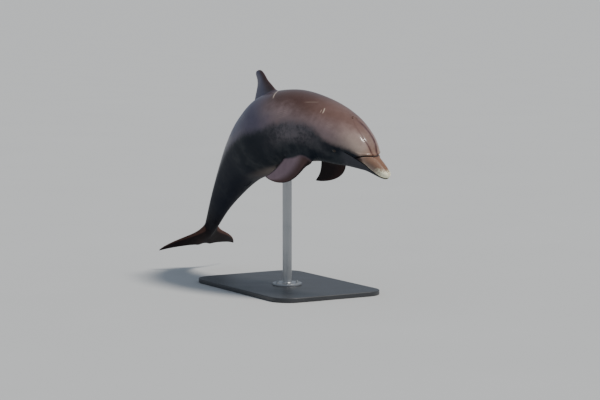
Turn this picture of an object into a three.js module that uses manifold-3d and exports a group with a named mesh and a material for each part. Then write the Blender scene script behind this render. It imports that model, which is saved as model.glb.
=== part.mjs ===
// Life-size display model of a leaping bottlenose dolphin on a steel stand.
// Millimetres, +Z up. The dolphin heads along +X and its left side is +Y.
// The origin is the centre of the underside of the stand's base plate.
//
// The body is described along a bent spine: "station" is the distance from the tip of the
// beak, and every size across the body is measured from the spine at that station.

import * as THREE from 'three';
import { mergeVertices } from 'three/addons/utils/BufferGeometryUtils.js';
import Module from 'manifold-3d';

const manifold = await Module();
manifold.setup();

// ---------------------------------------------------------------- driving dimensions

const BODY_LENGTH = 2500; // beak tip to the notch between the flukes
const STOCK_END = 0.99 * BODY_LENGTH; // where the tail stock has sunk into the flukes
const GAP = 0.3; // clearance between neighbouring pieces

// [station, back above the spine, belly below it, half width, roundness exponent]
const SECTIONS = [
  [0, 0, 0, 0, 2.2], // tip of the beak
  [4, 12, 14, 16, 2.2],
  [16, 22, 26, 30, 2.3],
  [40, 29, 37, 39, 2.3],
  [94, 42, 49, 49, 2.3], // middle of the beak
  [148, 53, 58, 62, 2.3], // crease where the beak meets the melon
  [168, 66, 62, 74, 2.2],
  [197, 98, 70, 94, 2.2],
  [246, 132, 82, 117, 2.2], // melon
  [319, 166, 99, 142, 2.2], // in front of the eyes
  [405, 198, 121, 162, 2.2], // behind the blowhole
  [552, 227, 148, 185, 2.15], // neck
  [725, 243, 187, 207, 2.1], // flippers
  [925, 258, 224, 220, 2.1],
  [1150, 260, 244, 221, 2.1], // deepest part, under the front of the dorsal fin
  [1375, 229, 234, 198, 2.0],
  [1625, 185, 187, 150, 1.95],
  [1875, 148, 144, 102, 1.85], // vent
  [2125, 105, 93, 62, 1.8], // tail stock, higher than it is wide
  [2300, 70, 66, 40, 1.8],
  [2400, 50, 43, 30, 1.9], // front of the flukes
  [STOCK_END, 16, 15, 25, 2.0],
];

// Direction of the spine, in degrees at a station
const SPINE_PITCH = [
  [0, -36], [300, -20], [625, -11], [1000, 6], [1375, 24],
  [1750, 39], [2125, 48], [2375, 52], [BODY_LENGTH, 51],
];
const SPINE_YAW = [[0, 19], [750, 6], [1500, -1], [BODY_LENGTH, 0]];
const SPINE_ROLL = [[0, -2], [750, -1], [1500, 5], [BODY_LENGTH, -4]];

// The spine passes through this point, which puts the weight over the stand
const SPINE_FIX = { station: 1000, place: new THREE.Vector3(60, -20, 1040) };

// Cuts between the named lengths of the body, as stations
const NECK_CUT = 500;
const CHEST_CUT = 860;
const LOIN_CUT = 1400;
const VENT_CUT = 1880;
const LENGTHS = { // start, end and the most that its rings may be apart
  trunk_front: [NECK_CUT, CHEST_CUT, 60],
  trunk_middle: [CHEST_CUT, LOIN_CUT, 60],
  trunk_rear: [LOIN_CUT, VENT_CUT, 60],
  tail_stock: [VENT_CUT, STOCK_END, 50],
};

// Mouth line: [station, height above the spine]
const MOUTH_LINE = [[-10, -8], [25, -17], [62, -22], [115, -18], [172, -2], [225, 13], [286, 22]];
const CREASE_TOP = { station: 152, height: 62 }; // crease on the midline
const CREASE_SLOPE = 1.05; // how far it runs back for each millimetre down

const EYE = { station: 348, angle: 101, ball: 19, sink: 11 };
const BLOWHOLE = { station: 382, bend: 17, groove: 2.4, side: 9 };

// Dorsal fin: its two edges and its thickness, each as [height above the root line, value]
const DORSAL_FIN = {
  station: 1072, root: 315, span: 272, sunk: 30, curl: 0, tipPower: 14, tipShare: 0.7,
  leading: [
    [-30, -50], [0, 8], [30, 60], [50, 82], [78, 106], [104, 131], [133, 156], [156, 171],
    [179, 184], [203, 198], [224, 209], [242, 219],
  ],
  trailing: [
    [-30, 440], [0, 418], [20, 406], [40, 394], [60, 380], [78, 366], [93, 351], [118, 328],
    [136, 313], [150, 304], [164, 298], [183, 296], [205, 302], [224, 310], [242, 315],
  ],
  thick: [[-30, 84], [0, 62], [25, 44], [50, 35], [100, 27], [150, 22], [200, 18], [242, 14]],
};

// Other fins: a blade leaves the body at its root and narrows to its tip. Lengths in mm,
// taper is the part of the chord lost at the tip, sweep the tip's set-back.
const FLIPPER = {
  station: 672, root: 178, span: 291, sunk: 0, taper: 0.36, taperPower: 1.83, sweep: 176,
  straight: 0.05, sweepPower: 2.8, tipPower: 7.5, tipShare: 0.85, bulge: 0.125, curl: -0.09,
  thickRoot: 0.27, thickTip: 0.1, flare: 0.1, flareReach: 0.12, notch: 0,
};
const FLUKE = {
  station: 2349, root: 168, span: 300, sunk: 0, taper: 0.8, taperPower: 0.89, sweep: 232,
  straight: 0.7, sweepPower: 3, tipPower: 9.5, tipShare: 1, bulge: 0, curl: 0.3,
  thickRoot: 0.24, thickTip: 0.12, flare: 0.36, flareReach: 0.2, notch: 34,
};
const FLUKE_SET = { pitch: 1, dihedral: -4 }; // degrees
const FLIPPER_ROOT_ANGLE = 139; // round the body from the back, degrees
const FLIPPER_SET = { // degrees below level, swept back, and leading edge raised
  right: { drop: 71, swept: 18, raised: -4 },
  left: { drop: 55, swept: 12.5, raised: 15.5 },
};

// Stand
const BASE = { length: 1200, width: 780, thick: 30, corner: 130, bevel: 5 };
const ROD = { diameter: 60, station: 1050 };
const FLANGE = { diameter: 190, thick: 14, bolts: 6, boltCircle: 148, boltSize: 16, boltHigh: 9 };
const CRADLE = { diameter: 150, deep: 44, taper: 0.62 };

// Facets
const RING = 28; // points round the body
const FOIL_POINTS = 7; // points along each face of a fin's section
const SPAN_STEPS = 12;

// Finishes: [colour, roughness, metalness]
const SKIN_BACK = ['#6b5b57', 0.35, 0];
const SKIN_HEAD = ['#7d706c', 0.35, 0];
const SKIN_DARK = ['#3b3c44', 0.35, 0];
const EYE_DARK = ['#17110e', 0.08, 0];
const BASE_PAINT = ['#2b2d30', 0.5, 0];
const STEEL = ['#9a9da0', 0.3, 1];
const CRADLE_RUBBER = ['#1d1e20', 0.8, 0];

// ---------------------------------------------------------------- smooth curves

const rad = THREE.MathUtils.degToRad;

/** Monotone cubic curve through [x, y] points; it never overshoots a point. */
function smoothCurve(points) {
  const n = points.length;
  const xs = points.map((p) => p[0]);
  const ys = points.map((p) => p[1]);
  const slope = [];
  for (let i = 0; i < n - 1; i++) slope.push((ys[i + 1] - ys[i]) / (xs[i + 1] - xs[i]));
  const tangent = slope.map((s, i) => {
    if (i === 0) return s;
    const before = slope[i - 1];
    if (before * s <= 0) return 0;
    const left = xs[i] - xs[i - 1];
    const right = xs[i + 1] - xs[i];
    const weight = (left + 2 * right) / (3 * (left + right));
    return (before * s) / (weight * s + (1 - weight) * before);
  });
  tangent.push(slope[n - 2]);
  return (x) => {
    const at = THREE.MathUtils.clamp(x, xs[0], xs[n - 1]);
    let i = 0;
    while (i < n - 2 && at > xs[i + 1]) i++;
    const h = xs[i + 1] - xs[i];
    const t = (at - xs[i]) / h;
    const rise = t * t * (3 - 2 * t);
    return ys[i] * (1 - rise) + ys[i + 1] * rise
      + h * (tangent[i] * t * (1 - t) ** 2 - tangent[i + 1] * t * t * (1 - t));
  };
}

const column = (k) => smoothCurve(SECTIONS.map((row) => [row[0], row[k]]));
const backAt = column(1);
const bellyAt = column(2);
const widthAt = column(3);
const roundnessAt = column(4);
const pitchAt = smoothCurve(SPINE_PITCH);
const yawAt = smoothCurve(SPINE_YAW);
const rollAt = smoothCurve(SPINE_ROLL);
const mouthAt = smoothCurve(MOUTH_LINE);
const dorsalLeading = smoothCurve(DORSAL_FIN.leading);
const dorsalTrailing = smoothCurve(DORSAL_FIN.trailing);
const dorsalThick = smoothCurve(DORSAL_FIN.thick);

// ---------------------------------------------------------------- the spine

/** Forward, up and left directions of the body at a station. */
function axesAt(station) {
  const pitch = rad(pitchAt(station));
  const yaw = rad(yawAt(station));
  const forward = new THREE.Vector3(
    Math.cos(yaw) * Math.cos(pitch), Math.sin(yaw) * Math.cos(pitch), Math.sin(pitch));
  const level = new THREE.Vector3(
    -Math.cos(yaw) * Math.sin(pitch), -Math.sin(yaw) * Math.sin(pitch), Math.cos(pitch));
  const up = level.applyAxisAngle(forward, -rad(rollAt(station)));
  const left = new THREE.Vector3().crossVectors(up, forward);
  return { forward, up, left };
}

/** Points of the spine every few millimetres, walked back from the beak tip. */
function walkSpine(step) {
  const points = [new THREE.Vector3()];
  for (let station = 0; station < BODY_LENGTH; station += step) {
    const forward = axesAt(station + step / 2).forward;
    points.push(points[points.length - 1].clone().addScaledVector(forward, -step));
  }
  return points;
}

const SPINE_STEP = 5;
const spinePoints = walkSpine(SPINE_STEP);
const spineShift = SPINE_FIX.place.clone().sub(spinePoints[SPINE_FIX.station / SPINE_STEP]);

/** Point of the spine at a station, also a little way past its two ends. */
function spineAt(station) {
  const last = spinePoints.length - 2;
  const i = THREE.MathUtils.clamp(Math.floor(station / SPINE_STEP), 0, last);
  const between = station / SPINE_STEP - i;
  return spinePoints[i].clone().lerp(spinePoints[i + 1], between).add(spineShift);
}

/** A place given by station, distance to the left and height above the spine. */
function place(station, left, height) {
  const axes = axesAt(station);
  return spineAt(station).addScaledVector(axes.left, left).addScaledVector(axes.up, height);
}

/** Left and height of the skin at an angle round the body: 0 is the back, 90 the left. */
function sectionPoint(station, angle, grow = 0) {
  const back = backAt(station) + grow;
  const belly = bellyAt(station) + grow;
  const power = 2 / roundnessAt(station);
  const swell = (value) => Math.sign(value) * Math.abs(value) ** power;
  const left = (widthAt(station) + grow) * swell(Math.sin(angle));
  const height = (back - belly) / 2 + ((back + belly) / 2) * swell(Math.cos(angle));
  return [left, height];
}

/** Point of the skin, and the outward direction there in the section's plane. */
function skinAt(station, angle) {
  const [left, height] = sectionPoint(station, angle);
  const [leftOut, heightOut] = sectionPoint(station, angle, 1);
  const point = place(station, left, height);
  const outward = place(station, leftOut, heightOut).sub(point).normalize();
  return { point, outward };
}

// ---------------------------------------------------------------- solids

/** Closed mesh through rings of equal length, with a fan over each end. */
function loft(rings) {
  const count = rings[0].length;
  const points = rings.flat();
  const index = [];
  const at = (row, k) => row * count + (k % count);
  for (let row = 0; row < rings.length - 1; row++) {
    for (let k = 0; k < count; k++) {
      index.push(at(row, k), at(row + 1, k), at(row + 1, k + 1));
      index.push(at(row, k), at(row + 1, k + 1), at(row, k + 1));
    }
  }
  for (const row of [0, rings.length - 1]) {
    const centre = new THREE.Vector3();
    rings[row].forEach((p) => centre.addScaledVector(p, 1 / count));
    points.push(centre);
    for (let k = 0; k < count; k++) {
      const edge = row === 0 ? [at(row, k), at(row, k + 1)] : [at(row, k + 1), at(row, k)];
      index.push(...edge, points.length - 1);
    }
  }
  const geometry = new THREE.BufferGeometry().setFromPoints(points);
  geometry.setIndex(index);
  return geometry;
}

/** Volume inside a closed mesh, negative when its faces point inward. */
function signedVolume(vertices, faces) {
  let total = 0;
  const corner = (k) => new THREE.Vector3().fromArray(vertices, 3 * faces[k]);
  for (let k = 0; k < faces.length; k += 3) {
    total += corner(k).dot(corner(k + 1).cross(corner(k + 2))) / 6;
  }
  return total;
}

/** Solid made from a closed three.js geometry, faces turned outward. */
function solid(geometry) {
  const bare = geometry.clone();
  bare.deleteAttribute('normal');
  bare.deleteAttribute('uv');
  const merged = mergeVertices(bare, 1e-4);
  const vertProperties = new Float32Array(merged.attributes.position.array);
  const faces = [];
  const source = merged.index.array;
  for (let k = 0; k < source.length; k += 3) {
    const [a, b, c] = [source[k], source[k + 1], source[k + 2]];
    if (a !== b && b !== c && c !== a) faces.push(a, b, c);
  }
  if (signedVolume(vertProperties, faces) < 0) faces.reverse();
  const mesh = new manifold.Mesh({
    numProp: 3, vertProperties, triVerts: new Uint32Array(faces),
  });
  return new manifold.Manifold(mesh);
}

/** The biggest of a solid's separate lumps. */
function mainLump(shape) {
  return shape.decompose().reduce((a, b) => (a.volume() > b.volume() ? a : b));
}

/** Geometry of a solid, with flat facets. */
function geometryOf(shape) {
  const mesh = shape.getMesh();
  const geometry = new THREE.BufferGeometry();
  geometry.setAttribute('position', new THREE.BufferAttribute(mesh.vertProperties, 3));
  geometry.setIndex(new THREE.BufferAttribute(mesh.triVerts, 1));
  const faceted = geometry.toNonIndexed();
  faceted.computeVertexNormals();
  return faceted;
}

/** Block that follows the bent body: an outline of [station, height] points, side to side. */
function bentBlock(outline, halfWidth) {
  const shape = new THREE.Shape(outline.map(([station, height]) => new THREE.Vector2(station, height)));
  const block = new THREE.ExtrudeGeometry(shape, { depth: 2 * halfWidth, bevelEnabled: false });
  const position = block.attributes.position;
  for (let i = 0; i < position.count; i++) {
    const left = position.getZ(i) - halfWidth;
    const moved = place(position.getX(i), left, position.getY(i));
    position.setXYZ(i, moved.x, moved.y, moved.z);
  }
  return solid(block);
}

// ---------------------------------------------------------------- body

/** Rings of the body's skin at the given stations. */
function bodyRings(stations, grow = 0) {
  return stations.map((station) => Array.from({ length: RING }, (_, k) => {
    const angle = (2 * Math.PI * k) / RING;
    const [left, height] = sectionPoint(station, angle, grow);
    return place(station, left, height);
  }));
}

/** Even stations between two cuts, at most a given step apart. */
function stationsBetween(start, end, step) {
  const count = Math.ceil((end - start) / step);
  return Array.from({ length: count + 1 }, (_, i) => start + ((end - start) * i) / count);
}

/** Stations of the head: close together on the rounded tip and over the crease. */
function headStations(end) {
  const tip = [0.8, 2, 4, 8, 14, 22, 31];
  return [...tip, ...stationsBetween(42, 142, 20), ...stationsBetween(150, 210, 10),
    ...stationsBetween(226, end, 26)];
}

/** One length of the body between two cuts, shortened by half the gap at each. */
function bodyLength(name) {
  const stations = stationsBetween(...LENGTHS[name]);
  stations[0] += GAP / 2;
  stations[stations.length - 1] -= GAP / 2;
  return solid(loft(bodyRings(stations)));
}

/** The whole body, a gap larger all round, that other pieces are trimmed against. */
function grownBody() {
  const behind = Object.values(LENGTHS).flatMap((length) => stationsBetween(...length).slice(1));
  return solid(loft(bodyRings([...headStations(NECK_CUT), ...behind], GAP)));
}

/** Mouth outline from the tip to the corner of the mouth, moved up or down a little. */
function mouthPoints(shift) {
  const corner = MOUTH_LINE[MOUTH_LINE.length - 1][0];
  return stationsBetween(MOUTH_LINE[0][0], corner, 25).map((s) => [s, mouthAt(s) + shift]);
}

/** Space taken by the lower jaw: all below the mouth line, back to its corner. */
function jawSpace(gap) {
  const low = -160;
  const line = mouthPoints(-GAP / 2 + gap);
  const [cornerStation, cornerHeight] = line[line.length - 1];
  const end = cornerStation + gap;
  return bentBlock([...line, [end, cornerHeight], [end + 60, low], [line[0][0], low]], 200);
}

/** All that lies in front of the crease, moved back by a gap when it cuts the head. */
function beakSpace(gap) {
  const front = MOUTH_LINE[0][0] - 20;
  const reach = 160;
  const shift = gap * Math.hypot(1, CREASE_SLOPE);
  const top = CREASE_TOP.station + shift;
  const foot = top + (CREASE_TOP.height + reach) * CREASE_SLOPE;
  return bentBlock([
    [front, -reach], [foot, -reach], [top, CREASE_TOP.height], [top, reach], [front, reach],
  ], 200);
}

/** Ball of one eye, grown by the gap when it cuts its socket. */
function eyeBall(side, grow = 0) {
  const { point, outward } = skinAt(EYE.station, side * rad(EYE.angle));
  const ball = new THREE.SphereGeometry(EYE.ball + grow, 14, 8);
  const centre = point.addScaledVector(outward, -EYE.sink);
  return solid(ball.translate(centre.x, centre.y, centre.z));
}

/** Crescent groove of the blowhole, its horns toward the beak, a little left of the midline. */
function blowholeGroove() {
  const angle = Math.asin(BLOWHOLE.side / widthAt(BLOWHOLE.station));
  const { point, outward } = skinAt(BLOWHOLE.station, angle);
  const { forward } = axesAt(BLOWHOLE.station);
  const across = new THREE.Vector3().crossVectors(outward, forward).normalize();
  const ahead = new THREE.Vector3().crossVectors(across, outward);
  const groove = new THREE.TorusGeometry(BLOWHOLE.bend, BLOWHOLE.groove, 6, 12, Math.PI);
  const capped = closeTube(groove, 12, 6);
  const turn = new THREE.Matrix4().makeBasis(across, ahead.clone().negate(), outward);
  return solid(capped.applyMatrix4(turn).translate(point.x, point.y, point.z));
}

/** Closes the two open ends of a half torus. */
function closeTube(torus, steps, sides) {
  const position = torus.attributes.position;
  const rings = Array.from({ length: steps + 1 }, (_, row) => Array.from({ length: sides },
    (__, k) => new THREE.Vector3().fromBufferAttribute(position, k * (steps + 1) + row)));
  return loft(rings);
}

/** Head, upper beak and lower jaw, parted by thin cuts, with eye sockets and blowhole. */
function headPieces() {
  const whole = solid(loft(bodyRings(headStations(NECK_CUT - GAP / 2))));
  const jaw = mainLump(whole.intersect(jawSpace(0)));
  const upper = mainLump(whole.intersect(beakSpace(0)).subtract(jawSpace(GAP)));
  let head = whole.subtract(jawSpace(GAP)).subtract(beakSpace(GAP));
  head = head.subtract(eyeBall(1, GAP)).subtract(eyeBall(-1, GAP)).subtract(blowholeGroove());
  return { jaw, upper, head: mainLump(head) };
}

// ---------------------------------------------------------------- fins

/** Half thickness of a fin's section at a share of the chord, 0.5 at its thickest. */
function foil(u) {
  return 5 * (0.2969 * Math.sqrt(u) - 0.126 * u - 0.3516 * u ** 2 + 0.2843 * u ** 3 - 0.1015 * u ** 4);
}

/** Leading edge's set-back, chord and thickness of a fin at a share t of its span. */
function planAt(fin, t) {
  const full = fin.root * (1 - fin.taper * t ** fin.taperPower) * (1 + fin.bulge * Math.sin(Math.PI * t));
  const chord = full * Math.sqrt(Math.max(0, 1 - t ** fin.tipPower));
  const swept = fin.straight * t + (1 - fin.straight) * t ** fin.sweepPower;
  const flare = Math.exp(-((t / fin.flareReach) ** 2));
  const front = fin.sweep * swept + (full - chord) * fin.tipShare - fin.flare * fin.root * flare;
  const notch = fin.notch * Math.exp(-((t / 0.05) ** 2));
  const length = chord + fin.flare * fin.root * flare * 1.3 - notch;
  const ratio = THREE.MathUtils.lerp(fin.thickRoot, fin.thickTip, Math.min(1, 2.2 * t));
  const thick = full * ratio * (1 + 0.9 * flare) * Math.sqrt(Math.max(0.02, 1 - t ** 6));
  return { front, length, thick };
}

/** The same three for the dorsal fin, from its drawn edges, drawn together at the tip. */
function dorsalPlanAt(fin, t) {
  const height = fin.span * t - fin.sunk;
  const lead = dorsalLeading(height);
  const full = dorsalTrailing(height) - lead;
  const length = full * Math.sqrt(Math.max(0, 1 - t ** fin.tipPower));
  const front = lead + (full - length) * fin.tipShare;
  return { front, length, thick: dorsalThick(height) * Math.sqrt(Math.max(0.02, 1 - t ** 12)) };
}

/** Outline of a fin's section at a share t of its span, as points in space. */
function foilRing(fin, set, t) {
  const { front, length, thick } = fin === DORSAL_FIN ? dorsalPlanAt(fin, t) : planAt(fin, t);
  const bend = fin.curl * fin.span * t * t;
  const edge = Math.min(2, length / 8);
  const ring = [];
  const add = (u, side) => {
    const half = side * (thick * foil(u) + edge * u);
    ring.push(set.root.clone()
      .addScaledVector(set.aft, front + length * u)
      .addScaledVector(set.out, fin.span * t - fin.sunk)
      .addScaledVector(set.normal, bend + half));
  };
  for (let i = 0; i <= FOIL_POINTS; i++) add((1 - Math.cos((Math.PI * i) / FOIL_POINTS)) / 2, 1);
  for (let i = FOIL_POINTS; i > 0; i--) add((1 - Math.cos((Math.PI * i) / FOIL_POINTS)) / 2, -1);
  return ring;
}

/** Solid blade of a fin set on the body. */
function blade(fin, set) {
  const shares = Array.from({ length: SPAN_STEPS + 1 }, (_, i) => Math.sin((Math.PI / 2) * (i / SPAN_STEPS)));
  shares[SPAN_STEPS] = 0.9985;
  return solid(loft(shares.map((t) => foilRing(fin, set, t))));
}

/** Where the dorsal fin stands: on the line between the two ends of its root. */
function dorsalSet() {
  const rear = DORSAL_FIN.station + DORSAL_FIN.root;
  const front = place(DORSAL_FIN.station, 0, backAt(DORSAL_FIN.station));
  const aft = place(rear, 0, backAt(rear)).sub(front).normalize();
  const { left } = axesAt(DORSAL_FIN.station + DORSAL_FIN.root / 2);
  const out = new THREE.Vector3().crossVectors(left, aft).normalize();
  return { root: front, aft, out, normal: left };
}

/** Where a flipper leaves the body's side, dropped, swept and tilted. */
function flipperSet(side, { drop, swept, raised }) {
  const { forward, up, left } = axesAt(FLIPPER.station);
  const outward = left.clone().multiplyScalar(side);
  const [rootLeft, rootHeight] = sectionPoint(FLIPPER.station, side * rad(FLIPPER_ROOT_ANGLE));
  const sunk = 0.93;
  const middle = place(FLIPPER.station, rootLeft * sunk, rootHeight * sunk);
  const reach = outward.multiplyScalar(Math.cos(rad(drop))).addScaledVector(up, -Math.sin(rad(drop)));
  const face = new THREE.Vector3().crossVectors(forward, reach).multiplyScalar(side);
  const ahead = forward.clone().multiplyScalar(Math.cos(rad(raised)))
    .addScaledVector(face, Math.sin(rad(raised)));
  const out = reach.clone().multiplyScalar(Math.cos(rad(swept)))
    .addScaledVector(ahead, -Math.sin(rad(swept)));
  const chordwise = ahead.clone().multiplyScalar(Math.cos(rad(swept)))
    .addScaledVector(reach, Math.sin(rad(swept)));
  const normal = new THREE.Vector3().crossVectors(ahead, reach).multiplyScalar(side);
  const root = middle.addScaledVector(chordwise, FLIPPER.root / 2);
  return { root, aft: chordwise.negate(), out, normal };
}

/** Where a fluke leaves the end of the tail, level with the body's own left and right. */
function flukeSet(side) {
  const { forward, up, left } = axesAt(FLUKE.station);
  const tilt = rad(FLUKE_SET.pitch);
  const rise = rad(FLUKE_SET.dihedral);
  const aft = forward.clone().multiplyScalar(-Math.cos(tilt)).addScaledVector(up, -Math.sin(tilt));
  const normal = up.clone().multiplyScalar(Math.cos(tilt)).addScaledVector(forward, -Math.sin(tilt));
  const out = left.clone().multiplyScalar(side * Math.cos(rise)).addScaledVector(normal, Math.sin(rise));
  const root = place(FLUKE.station, side * (GAP / 2), 0);
  return { root, aft, out, normal };
}

/** The half of space on one side of the tail's own middle plane, as a big block. */
function tailHalf(side) {
  const { forward, up, left } = axesAt(FLUKE.station);
  const half = new THREE.BoxGeometry(800, 800, 800).translate(0, side * (400 + GAP / 2), 0);
  half.applyMatrix4(new THREE.Matrix4().makeBasis(forward, left, up));
  const middle = spineAt(FLUKE.station);
  return solid(half.translate(middle.x, middle.y, middle.z));
}

// ---------------------------------------------------------------- stand

/** Flat base plate with round corners and a small bevel. */
function basePlate() {
  const { length, width, thick, corner, bevel } = BASE;
  const x = length / 2 - bevel;
  const y = width / 2 - bevel;
  const r = corner - bevel;
  const outline = new THREE.Shape();
  outline.moveTo(-x + r, -y).lineTo(x - r, -y).absarc(x - r, -y + r, r, -Math.PI / 2, 0);
  outline.lineTo(x, y - r).absarc(x - r, y - r, r, 0, Math.PI / 2);
  outline.lineTo(-x + r, y).absarc(-x + r, y - r, r, Math.PI / 2, Math.PI);
  outline.lineTo(-x, -y + r).absarc(-x + r, -y + r, r, Math.PI, 1.5 * Math.PI);
  const plate = new THREE.ExtrudeGeometry(outline, {
    depth: thick - 2 * bevel, bevelThickness: bevel, bevelSize: bevel, bevelSegments: 1, curveSegments: 6,
  });
  return solid(plate.translate(0, 0, bevel));
}

/** Where the rod stands: straight below the belly at its station. */
function rodFoot() {
  const belly = place(ROD.station, 0, -bellyAt(ROD.station));
  return { x: belly.x, y: belly.y, top: belly.z };
}

/** Upright cylinder on the rod's line between two heights. */
function upright(radius, low, high, sides, lowRadius = radius) {
  const { x, y } = rodFoot();
  const tube = new THREE.CylinderGeometry(radius, lowRadius, high - low, sides);
  return solid(tube.rotateX(Math.PI / 2).translate(x, y, (low + high) / 2));
}

/** Bolted foot flange with its ring of hexagon heads. */
function flange() {
  const low = BASE.thick + GAP;
  const { x, y } = rodFoot();
  let disc = upright(FLANGE.diameter / 2, low, low + FLANGE.thick, 32);
  for (let k = 0; k < FLANGE.bolts; k++) {
    const turn = (2 * Math.PI * (k + 0.5)) / FLANGE.bolts;
    const head = new THREE.CylinderGeometry(FLANGE.boltSize / 2, FLANGE.boltSize / 2,
      FLANGE.boltHigh + 2, 6).rotateX(Math.PI / 2);
    head.translate(x + (FLANGE.boltCircle / 2) * Math.cos(turn), y + (FLANGE.boltCircle / 2) * Math.sin(turn),
      low + FLANGE.thick + FLANGE.boltHigh / 2 - 1);
    disc = disc.add(solid(head));
  }
  return disc;
}

/** Rubber cup under the belly, its top shaped by the body. */
function cradle(grown) {
  const { top } = rodFoot();
  const cup = upright(CRADLE.diameter / 2, top - CRADLE.deep, top + 60, 32, CRADLE.diameter / 2 * CRADLE.taper);
  return mainLump(cup.subtract(grown));
}

/** Steel rod between the flange and the cradle. */
function rod() {
  const low = BASE.thick + FLANGE.thick + 2 * GAP;
  const { top } = rodFoot();
  return upright(ROD.diameter / 2, low, top - CRADLE.deep - GAP, 32);
}

// ---------------------------------------------------------------- assembly

/** Named mesh with a material of its own. */
function piece(name, shape, [color, roughness, metalness]) {
  const material = new THREE.MeshStandardMaterial({ color, roughness, metalness });
  material.name = `${name}_finish`;
  const mesh = new THREE.Mesh(geometryOf(shape), material);
  mesh.name = name;
  return mesh;
}

/** All pieces of the dolphin. */
function dolphin(grown) {
  const group = new THREE.Group();
  const { jaw, upper, head } = headPieces();
  group.add(piece('head', head, SKIN_HEAD));
  group.add(piece('beak_upper', upper, SKIN_BACK));
  group.add(piece('jaw_lower', jaw, SKIN_DARK));
  for (const name of Object.keys(LENGTHS)) {
    group.add(piece(name, bodyLength(name), name.startsWith('tail') ? SKIN_DARK : SKIN_BACK));
  }
  group.add(piece('dorsal_fin', mainLump(blade(DORSAL_FIN, dorsalSet()).subtract(grown)), SKIN_BACK));
  for (const [name, side] of [['left', 1], ['right', -1]]) {
    const flipper = blade(FLIPPER, flipperSet(side, FLIPPER_SET[name])).subtract(grown);
    group.add(piece(`flipper_${name}`, mainLump(flipper), SKIN_DARK));
    const fluke = blade(FLUKE, flukeSet(side)).subtract(grown).intersect(tailHalf(side));
    group.add(piece(`fluke_${name}`, mainLump(fluke), SKIN_DARK));
    group.add(piece(`eye_${name}`, eyeBall(side), EYE_DARK));
  }
  return group;
}

/** All pieces of the stand. */
function stand(grown) {
  const group = new THREE.Group();
  group.add(piece('stand_base', basePlate(), BASE_PAINT));
  group.add(piece('stand_flange', flange(), STEEL));
  group.add(piece('stand_rod', rod(), STEEL));
  group.add(piece('stand_cradle', cradle(grown), CRADLE_RUBBER));
  return group;
}

const model = new THREE.Group();
const grown = grownBody();
model.add(dolphin(grown), stand(grown));

export default model;
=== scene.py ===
"""Life-size display model of a leaping bottlenose dolphin on a steel and rubber stand.

Shapes are given in millimetres, as the workshop would, and become metres when a mesh
is written. Finishes and the studio are in metres. The dolphin heads along +X and its
left side is +Y. "Station" is the distance back from the tip of the beak along a bent
spine, and every size across the body is measured from that spine.
"""

import logging
import math
from collections.abc import Callable, Sequence
from dataclasses import dataclass, field
from enum import Enum

import bpy
import numpy as np
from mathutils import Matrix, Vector


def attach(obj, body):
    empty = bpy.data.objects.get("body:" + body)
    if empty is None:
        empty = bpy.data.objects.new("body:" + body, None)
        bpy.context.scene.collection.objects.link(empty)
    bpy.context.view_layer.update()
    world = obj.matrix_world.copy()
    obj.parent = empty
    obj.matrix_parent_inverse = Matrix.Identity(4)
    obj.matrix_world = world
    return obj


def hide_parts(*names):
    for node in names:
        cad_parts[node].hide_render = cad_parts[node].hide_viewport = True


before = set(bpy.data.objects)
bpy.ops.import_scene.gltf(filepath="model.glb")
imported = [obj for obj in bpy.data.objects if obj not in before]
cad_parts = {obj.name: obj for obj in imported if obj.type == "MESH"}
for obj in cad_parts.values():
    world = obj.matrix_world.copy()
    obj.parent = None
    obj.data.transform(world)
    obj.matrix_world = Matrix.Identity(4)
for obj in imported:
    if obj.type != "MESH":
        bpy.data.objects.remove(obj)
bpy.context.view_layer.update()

LOG = logging.getLogger("dolphin_model")
MM = 0.001  # metres in a millimetre
FIN_END = 0.9985  # share of a fin's span at which its last ring stands
Colour = tuple[float, float, float]
Rows = Sequence[Sequence[float]]


# ---------------------------------------------------------------- curves and numbers


def ease(x: np.ndarray, low: float, high: float) -> np.ndarray:
    """Smooth step: 0 below low, 1 above high, and t * t * (3 - 2 t) between; low may be above high."""
    t = np.clip((x - low) / (high - low), 0.0, 1.0)
    return t * t * (3.0 - 2.0 * t)


def bell(x: np.ndarray, width: float | np.ndarray) -> np.ndarray:
    """Bell curve, exp(-(x / width) squared)."""
    return np.exp(-((x / width) ** 2))


def dot(a: np.ndarray, b: np.ndarray) -> np.ndarray:
    """Row by row scalar product."""
    return (a * b).sum(-1)


def unit(vector: np.ndarray) -> np.ndarray:
    """The vector at length 1."""
    return vector / np.linalg.norm(vector)


class SmoothCurve:
    """Cubic curve through [place, value] knots that never overshoots one of them."""

    def __init__(self, knots: Rows) -> None:
        """Works out the tangent at each knot.

        An inner tangent is the weighted harmonic mean of the slopes on its two
        sides, and zero where they differ in sign. An end takes its one slope.

        Args:
            knots: rows of place and value, in rising order of place.
        """
        self.x, self.y = np.asarray(knots, float).T
        gaps = np.diff(self.x)
        slope = np.diff(self.y) / gaps
        before, after = slope[:-1], slope[1:]
        weight = (gaps[:-1] + 2 * gaps[1:]) / (3 * (gaps[:-1] + gaps[1:]))
        mean = weight * after + (1 - weight) * before
        same = before * after > 0
        inner = np.where(same, before * after / np.where(same, mean, 1.0), 0.0)
        self.tangent = np.concatenate([slope[:1], inner, slope[-1:]])

    def __call__(self, place: np.ndarray | float) -> np.ndarray:
        """Value at each place, held at the end values outside the knots.

        Args:
            place: one place or an array of them.

        Returns:
            The cubic Hermite value between the two knots around each place.
        """
        at = np.clip(place, self.x[0], self.x[-1])
        i = np.clip(np.searchsorted(self.x, at) - 1, 0, len(self.x) - 2)
        gap = self.x[i + 1] - self.x[i]
        t = (at - self.x[i]) / gap
        rise = t * t * (3 - 2 * t)
        lean = self.tangent[i] * t * (1 - t) ** 2 - self.tangent[i + 1] * t * t * (1 - t)
        return self.y[i] * (1 - rise) + self.y[i + 1] * rise + gap * lean


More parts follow.
